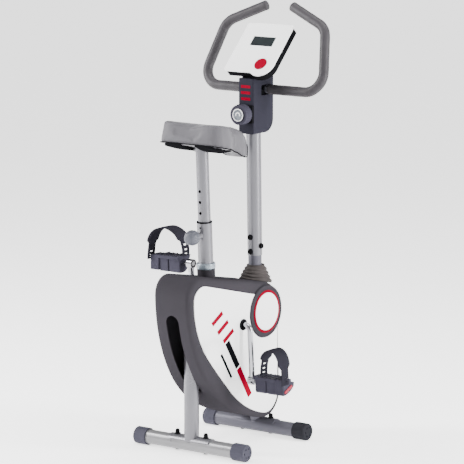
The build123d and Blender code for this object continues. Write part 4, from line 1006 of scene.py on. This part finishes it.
count = 0
for digit in range(DIGITS):
    left = -0.024 + digit * DIGIT_PITCH + (PAIR_GAP if digit > 1 else 0.0)
    right = left + DIGIT_WIDTH
    upper = (DIGIT_TOP + 0.001, DIGIT_MIDDLE - 0.0006)
    lower = (DIGIT_MIDDLE + 0.0006, DIGIT_LOW - 0.001)
    for x0, x1, down0, down1 in ((left + 0.001, right - 0.001, DIGIT_TOP, DIGIT_TOP + STROKE),
                                 (left + 0.001, right - 0.001, DIGIT_LOW - STROKE, DIGIT_LOW),
                                 (left, left + STROKE, *upper), (left, left + STROKE, *lower),
                                 (right - STROKE, right, *upper), (right - STROKE, right, *lower)):
        count += 1
        segment(f"display_segment_{count}", x0, x1, down0, down1)


# ---------------------------------------------------------------------------
# Floor, light and camera.
# ---------------------------------------------------------------------------
FLOOR_REACH = 30
FLOOR_GLOW = 1.7
floor_corners = [(x * FLOOR_REACH, y * FLOOR_REACH, 0) for x, y in ((-1, -1), (1, -1), (1, 1), (-1, 1))]
floor_mesh = bpy.data.meshes.new("floor")
floor_mesh.from_pydata(floor_corners, [], [(0, 1, 2, 3)])
floor = bpy.data.objects.new("floor", floor_mesh)
floor.location.z = FLOOR_Z - 0.0002
scene.collection.objects.link(floor)
floor_paint = material("floor", (0.90, 0.90, 0.90), (0.75, 0.85), 0.01, 0.7)
floor_shader = floor_paint.node_tree.nodes["Principled BSDF"]
floor_shader.inputs["Emission Color"].default_value = (1, 1, 1, 1)
floor_shader.inputs["Emission Strength"].default_value = FLOOR_GLOW
floor_mesh.materials.append(floor_paint)

world = bpy.data.worlds.new("studio")
scene.world = world
world.use_nodes = True
sky_tree = world.node_tree
sky_tree.nodes["Background"].inputs["Strength"].default_value = 1.0
# The sky is as bright as the floor along the horizon, and dimmer higher up.
HORIZON_GLOW = 2.6
HIGH_GLOW = 0.50
sky_height = sky_tree.nodes.new("ShaderNodeSeparateXYZ")
sky_coords = sky_tree.nodes.new("ShaderNodeTexCoord")
sky_tree.links.new(sky_coords.outputs["Generated"], sky_height.inputs["Vector"])
sky_stops = [(0.0, HORIZON_GLOW), (0.07, HORIZON_GLOW), (0.22, HIGH_GLOW)]
sky_colour = ramp(sky_tree, sky_height.outputs["Z"], sky_stops, "EASE")
sky_tree.links.new(sky_colour, sky_tree.nodes["Background"].inputs["Color"])


LIGHT_AIM = Vector((0, 0, 0.6))


def soft_light(name, place, size, power):
    """A large rectangular area light aimed at the object's middle."""
    data = bpy.data.lights.new(name, "AREA")
    data.shape = "RECTANGLE"
    data.size = size[0]
    data.size_y = size[1]
    data.energy = power
    obj = bpy.data.objects.new(name, data)
    scene.collection.objects.link(obj)
    obj.location = place
    obj.rotation_euler = (LIGHT_AIM - Vector(place)).to_track_quat("-Z", "Y").to_euler()


soft_light("key", (-2.7, -1.7, 1.9), (0.8, 2.6), 270)
soft_light("fill", (3.1, 0.9, 1.6), (0.9, 2.6), 210)
soft_light("top", (0.3, 0.2, 3.6), (2.5, 2.5), 130)

# The camera looks from behind on the right, turned by AZIMUTH and tipped down by PITCH.
AZIMUTH = radians(36.615)
PITCH = radians(9.525)
SENSOR_WIDTH = 36.0
FOCAL_LENGTH = 227.7233
camera_data = bpy.data.cameras.new("camera")
camera = bpy.data.objects.new("camera", camera_data)
scene.collection.objects.link(camera)
camera_data.sensor_width = SENSOR_WIDTH
camera_data.lens = FOCAL_LENGTH
camera_data.clip_end = 100.0
camera.location = (5.1946, CRANK_Y - 6.9378, 2.1023)
look = Vector((-sin(AZIMUTH) * cos(PITCH), cos(AZIMUTH) * cos(PITCH), -sin(PITCH)))
camera.rotation_euler = look.to_track_quat("-Z", "Y").to_euler()
scene.camera = camera
